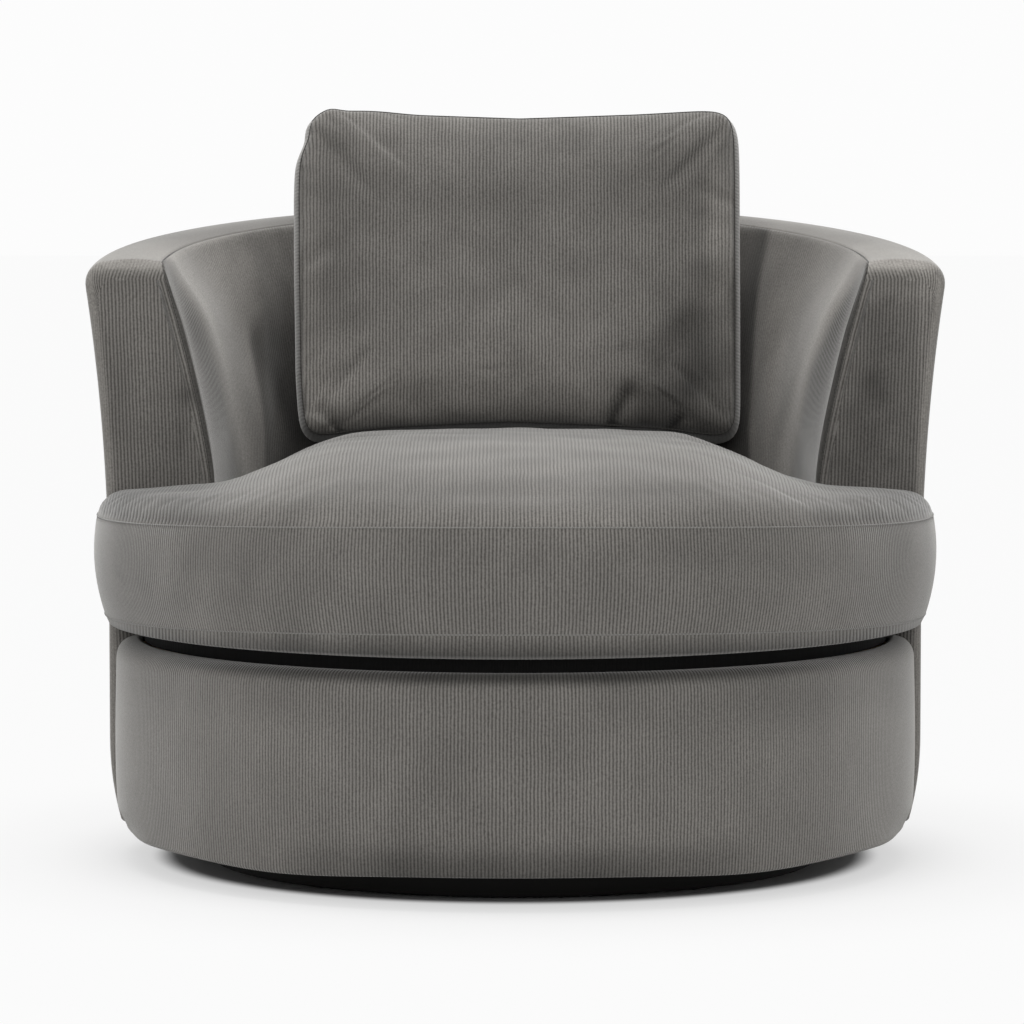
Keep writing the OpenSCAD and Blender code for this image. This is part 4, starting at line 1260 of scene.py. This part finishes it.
# %% [markdown]
# ## Sewing and stuffing the back cushion
#
# Its rings are laid out like the seat's. Folds at the corners could be left to the simulation, but
# then they would fall anywhere, so each is drawn in from a given start, end, width and depth. The
# cushion is leaned back last, and what would sink into the seat is lifted.

# %% Lay out and stuff the back cushion
outline, back_step = even_outline(back_edge(), back_columns, 0.008)
start = np.argmin(np.abs(outline[:, 0]) + (outline[:, 1] > 0.2))
outline = np.roll(outline, -start, axis=0)
normals = outline_normals(outline)
run = np.arange(back_columns + 1) * back_step

near_edge = np.array([0.130, 0.102, 0.078, 0.058, 0.041, 0.027, 0.016, 0.008, 0.0])
inward = np.concatenate([np.linspace(0, 0.84, 30), 1 - near_edge])
flat = back_middle + (outline - back_middle) * inward[:, None, None]


def face_panel(side, pillow, dome):
    """The front face for side -1, the rear face for side 1."""
    out = pillow * quarter((1 - inward) * back_depth / pillow_reach) + dome * (1 - inward ** 2)
    y = side * (back_seam_y + np.broadcast_to(out[:, None], flat.shape[:2]))
    return ring_panel(np.dstack([flat[:, :, 0], y, flat[:, :, 1]]), closed(flat))


levels = np.linspace(-1, 1, 15)[:, None]
bulge = gusset_bulge * (1 - levels ** 2) * (1 - 0.75 * np.clip(normals[:, 1], 0, 1))
gusset_xz = outline + normals * bulge[:, :, None]
gusset_y = np.broadcast_to(back_seam_y * levels, gusset_xz.shape[:2])
gusset_rings = np.dstack([gusset_xz[:, :, 0], gusset_y, gusset_xz[:, :, 1]])
back = sew("back_cushion", [face_panel(-1, belly_pillow, belly),
                            ring_panel(gusset_rings, spread_ribs(run, back_seam_y * levels)),
                            face_panel(1, rump_pillow, rump)], fine_gap)
held = near_seams(read_points(back), gusset_rings[0], gusset_rings[-1])
blow_up(back, held, cap=0.012)
flat_points = read_points(back)
x, y, z = flat_points.T                  # views, so what they are given goes into flat_points
plane = flat_points * (1, 0, 1)
from_side = back_half_w - np.abs(x)
low_edge = back_mid_z - back_half_h + arch(x / back_half_w)
from_edge = np.minimum(np.minimum(from_side, back_mid_z + back_half_h - z), z - low_edge)
from_edge = np.maximum(from_edge, 0)
folds = creases(x, z, (
    ((0.255, 0.205), (0.165, 0.080), 0.040, 0.0085),
    ((0.137, 0.070), (0.111, 0.026), 0.012, 0.0120),
    ((0.204, 0.040), (0.184, 0.020), 0.009, 0.0070),
    ((-0.242, 0.044), (-0.214, 0.018), 0.009, 0.0080),
    ((-0.130, 0.052), (-0.110, 0.028), 0.012, 0.0022),
    ((0.018, 0.066), (0.010, 0.032), 0.016, 0.0022),
    ((0.262, 0.300), (0.222, 0.318), 0.010, 0.0030),
    ((-0.262, 0.215), (-0.225, 0.240), 0.012, 0.0028),
    ((-0.05, 0.0925), (0.012, 0.0935), 0.003, 0.0009)))
gather = np.exp(-from_edge / 0.014) * smooth_step(from_edge / 0.006)
run_along = np.where(from_side < 0.04, z, x)
folds += 0.0009 * gather * np.sin(run_along / 0.0075 + 2.2 * ripple(flat_points, 0.07, 51))
soft = 0.0013 * ripple(plane, 0.19, 52) + 0.0005 * ripple(plane, 0.06, 53)
y += fade_in(-y - back_seam_y, -0.004, 0.010) * (folds + soft * smooth_step(from_edge / 0.03))
x += back_shift


def on_seat(points):
    """Lifts what would sink into the seat."""
    x, y, z = points.T
    floor = seat_top_at(x, y) + seat_touch
    over = (z - floor) / seat_soft
    lifted = floor + seat_soft * np.where(over > 20, over, np.log1p(np.exp(np.minimum(over, 20))))
    return np.stack([x, y, lifted], -1)


write_points(back, on_seat(lean(flat_points)))
face = fade_in(-y - back_seam_y, -0.004, 0.010)
low_edge = back_mid_z - back_half_h + arch(x / back_half_w)
plane = flat_points * (1, 0, 1)
# Painted shade: a large dark patch at the lower right where the cloth falls away in a soft fold, and smaller
# darker patches near the top and at the left.
pile_and_painted_light = blots(plane, (
    (56, (0.222, 0, 0.110), (0.040, 1, 0.075), -0.58, 0.25),
    (57, (0.180, 0, 0.062), (0.045, 1, 0.030), -0.36),
    (59, (-0.010, 0, 0.375), (0.16, 1, 0.012), -0.10),
    (60, (0.115, 0, 0.362), (0.10, 1, 0.010), -0.08),
    (61, (-0.205, 0, 0.150), (0.020, 1, 0.06), -0.06)))
# Painted shade along three creases near the lower edge.
pile_and_painted_light -= creases(x, z, (
    ((0.137, 0.070), (0.113, 0.028), 0.007, 0.55),
    ((0.204, 0.040), (0.186, 0.022), 0.006, 0.50),
    ((-0.240, 0.042), (-0.216, 0.020), 0.007, 0.50)))
# Painted light and shade: darker above, lighter at the lower left, across the middle and down the
# right edge, and a thin left edge.
pile_and_painted_light -= 0.17 * fade_in(z, 0.255, 0.060)
pile_and_painted_light += 0.42 * fade_out(z, 0.075, 0.11) * fade_out(x, 0.08, 0.09)
pile_and_painted_light += 0.13 * peak(z, 0.165, 0.030) * fade_in(x, -0.07, 0.04) * fade_out(x, 0.15, 0.04)
pile_and_painted_light += 0.55 * fade_in(x, 0.225, 0.02) * peak(z, 0.262, 0.085)
pile_and_painted_light += 0.16 * fade_in(-x, 0.228, 0.02) * fade_in(z, 0.12, 0.06)
# The lowest edge lies in the seat's shade.
shade = np.exp(-(np.maximum(z - low_edge, 0) / 0.013) ** 1.3)
pile_and_painted_light -= 0.50 * shade * (1 + 0.35 * ripple(plane, 0.06, 63))
# Painted shade along the small crease low in the middle.
pile_and_painted_light -= 0.22 * peak(z, 0.0932, 0.0016) * (np.abs(x + 0.018) < 0.030)
pile_and_painted_light = face * pile_and_painted_light + 0.035 * ripple(plane, 0.16, 54) + 0.025 * ripple(plane, 0.05, 55)
round_side = 1 - face
under = round_side * fade_out(z - low_edge, 0.004, 0.012)
# Painted shade on the gusset, more low down and on the left, and painted shadow of the seat along its
# underside.
pile_and_painted_light -= round_side * (0.22 + 0.30 * fade_out(z, 0.06, 0.18) + 0.26 * (x < 0) * fade_out(z, 0.06, 0.06))
pile_and_painted_light = pile_and_painted_light * (1 - under) - 0.88 * under
paint_pile_and_light(back, pile_and_painted_light, 0.6 * round_side + 0.25 * fade_in(np.abs(x), 0.25, 0.02) * face)
finish_piece(back, "back_cushion", "cord_cloth",
             ("back_filling", "back_front_panel", "back_gusset", "back_rear_panel"))
for label, ring in (("back_front_seam", gusset_rings[0]), ("back_rear_seam", gusset_rings[-1])):
    tube = seam_tube(label, on_seat(lean(ring + (back_shift, 0, 0))), 0.0009, closed=True)
    finish_piece(tube, "back_cushion", "cord_cloth", finish=seam_shadow_edge)

# %% [markdown]
# ## The zip of the back cushion
#
# The zip lies along the middle of the gusset's underside, so that the filling can be taken out.
# It could stay the straight block of the solids, but the underside is arched over the seat. So the
# tape is a narrow grid, each point of it found straight above on the cushion's skin, and the middle
# rows stand out as the closed teeth.

# %% Zip of the back cushion
zip_half, zip_front, zip_rear = 0.190, 0.192, 0.2097
zip_sink, tooth_height = 0.0006, 0.0007
skin = BVHTree.FromObject(back, bpy.context.evaluated_depsgraph_get())
ways = list(zip(np.linspace(zip_front, zip_rear, 9), (0, 0, 0, 1, 1, 1, 0, 0, 0)))
rows = []
for x in np.linspace(-zip_half, zip_half, 97):
    found = [skin.ray_cast(Vector((x, y, 0.40)), Vector((0, 0, 1)))[0].z for y, _ in ways]
    rows.append([(x, y, level - zip_sink - tooth_height * tooth)
                 for level, (y, tooth) in zip(found, ways)])
rows = np.array(rows)
back_zip = one_panel("back_zip_tape", rows, rows[:, :, :2], fine_gap)
give_wall(back_zip, 0.0008)
finish_piece(back_zip, "back_cushion", slot_of["back_zip"], ("back_zip",))
print("zip between", rows[:, :, 2].min(), "and", rows[:, :, 2].max())

# %% [markdown]
# ## Platform
#
# Under the seat cushion the deck is covered in plain black cloth, since nobody sees it. What shows
# is the dark slot between cushion and apron, and the cloth is made darker than real cloth to paint
# that slot's shade. The cloth wraps the pad's top and its round edge, so it is one lid with a
# rolled rim.

# %% Platform
lid_columns = 120        # round each half
past_front = 0.0015      # the wide front half reaches this far round behind the arm fronts
rim_roll = 0.016         # the rim is rolled over this share of the radius
rim_fall = 0.006
rim_skirt = 0.024
turn = np.concatenate([np.linspace(past_front, math.pi - past_front, lid_columns),
                       np.linspace(math.pi - past_front, 2 * math.pi + past_front, lid_columns),
                       [2 * math.pi + past_front]])
rim = np.repeat([rim_rear, rim_front, rim_rear], [lid_columns, lid_columns, 1])
rolled = np.linspace(0, math.pi / 2, 6)
shares = np.concatenate([np.linspace(0, 0.93, 9), 1 - rim_roll * (1 - np.sin(rolled)), [1]])
falls = np.concatenate([np.zeros(9), rim_fall * (1 - np.cos(rolled)), [rim_skirt]])
places = carry_round(rim[:, None] * shares, turn, deck_top - falls)
platform = one_panel("platform_lid", places, places[:, :, :2], fine_gap)
finish_piece(platform, "chair_body", "black_cloth", ("platform_cover",))

# %% [markdown]
# ## Plinth hoop
#
# The black ring under the skirt is bent plywood, painted. It is spun from a small rectangle, and
# its long edges are eased, since paint would chip off a sharp one.

# %% Plinth hoop
hoop_in, hoop_out, hoop_low, hoop_high = 0.351, 0.363, 0.003, 0.038
bpy.ops.mesh.primitive_plane_add(size=1)
hoop = bpy.context.object
hoop.name = hoop.data.name = "plinth_hoop_eased"
bpy.ops.object.mode_set(mode="EDIT")
bpy.ops.transform.resize(value=(hoop_out - hoop_in, hoop_high - hoop_low, 1), center_override=(0, 0, 0))
bpy.ops.mesh.bevel(offset=0.0016, segments=3, affect="VERTICES")
bpy.ops.transform.rotate(value=math.pi / 2, orient_axis="X", center_override=(0, 0, 0))
bpy.ops.transform.translate(value=((hoop_in + hoop_out) / 2, 0, (hoop_low + hoop_high) / 2))
bpy.ops.mesh.spin(steps=144, angle=2 * math.pi, center=(0, 0, 0), axis=(0, 0, 1))
mend(hoop, fine_gap)
bpy.ops.object.shade_smooth_by_angle(angle=math.radians(40))
finish_piece(hoop, "plinth", "black_paint", ("plinth_hoop",))
print("hoop faces", len(hoop.data.polygons), "z", min(v.co.z for v in hoop.data.vertices))

# %% [markdown]
# ## Stage
#
# A plain pale floor catches the soft shadow under the drum. Just outside the drum, on a disc a
# little behind the axis, it gives way for the camera to the white of the background, as a paper
# sweep does in a studio; the disc's rim paints the sharp edge of the shadow, and the white paints
# out most of the shadow beyond it.

# %% Floor
bpy.ops.mesh.primitive_plane_add(size=60, location=(0, 0, 0))
floor = bpy.context.object
floor.name = floor.data.name = "floor"
sweep = bpy.data.materials.new("sweep")
sweep.use_nodes = True
tree = sweep.node_tree
tree.nodes.clear()


def blend(tree, share, first, second, output):
    """Mixes two shaders and links the mixture to a new output."""
    mixer = add_node(tree, "ShaderNodeMixShader", s0=share)
    for k, shader in enumerate((first, second)):
        tree.links.new(shader.outputs[0], mixer.inputs[k + 1])
    tree.links.new(mixer.outputs[0], tree.nodes.new(output).inputs["Surface"])


diffuse = add_node(tree, "ShaderNodeBsdfDiffuse", s0=(0.74, 0.74, 0.74, 1))
glow = add_node(tree, "ShaderNodeEmission", s0=(1, 1, 1, 1), s1=0.965)
place = tree.nodes.new("ShaderNodeTexCoord").outputs["Object"]
flat_place = add_node(tree, "ShaderNodeVectorMath", {"operation": "MULTIPLY_ADD"},
                      s0=place, s1=(1, 1, 0), s2=(0, -0.033, 0)).outputs[0]
away = add_node(tree, "ShaderNodeVectorMath", {"operation": "LENGTH"}, s0=flat_place).outputs[1]
# The glow fades in from a disc round a point 33 mm behind the axis; its rim paints the shadow's edge.
fades = [add_node(tree, "ShaderNodeMapRange", {"interpolation_type": "SMOOTHSTEP"},
                  s0=away, s1=near, s2=far, s3=0.0, s4=share).outputs[0]
         for near, far, share in ((0.404, 0.440, 0.62), (0.43, 0.60, 0.22), (0.55, 0.95, 0.15))]
fade = maths(tree, "ADD", fades[0], maths(tree, "ADD", fades[1], fades[2]))
seen = tree.nodes.new("ShaderNodeLightPath").outputs["Is Camera Ray"]
blend(tree, times(tree, fade, seen), diffuse, glow, "ShaderNodeOutputMaterial")
floor.data.materials.append(sweep)

# %% [markdown]
# ## Light
#
# A wide soft panel overhead makes the tops of arms and seat lighter than their fronts. A second one
# in front keeps the cord readable, and a dim even surround fills the shadows.

# %% Lamps and surround
def soft_lamp(name, size, power, place, target):
    lamp = bpy.data.lights.new(name, "AREA")
    lamp.shape = "RECTANGLE"
    lamp.size, lamp.size_y = size
    lamp.energy = power
    holder = bpy.data.objects.new(name, lamp)
    bpy.context.scene.collection.objects.link(holder)
    holder.location = place
    holder.rotation_euler = (Vector(target) - Vector(place)).to_track_quat("-Z", "Y").to_euler()
    holder.visible_camera = False


soft_lamp("overhead", (2.6, 2.2), 62, (-0.15, 0.1, 2.7), (0, 0, 0.4))
soft_lamp("front", (2.6, 1.6), 50, (-0.10, -3.8, 1.9), (0, 0, 0.42))

world = bpy.data.worlds.new("surround")
bpy.context.scene.world = world
world.use_nodes = True
tree = world.node_tree
tree.nodes.clear()
fill = add_node(tree, "ShaderNodeBackground", s0=(1, 1, 1, 1), s1=0.55)
white = add_node(tree, "ShaderNodeBackground", s0=(1, 1, 1, 1), s1=0.975)
path = tree.nodes.new("ShaderNodeLightPath").outputs
clear = maths(tree, "MAXIMUM", path["Is Camera Ray"],
              maths(tree, "MAXIMUM", path["Is Glossy Ray"], path["Is Transmission Ray"]))
blend(tree, clear, fill, white, "ShaderNodeOutputWorld")
bpy.context.scene.view_settings.view_transform = "Standard"
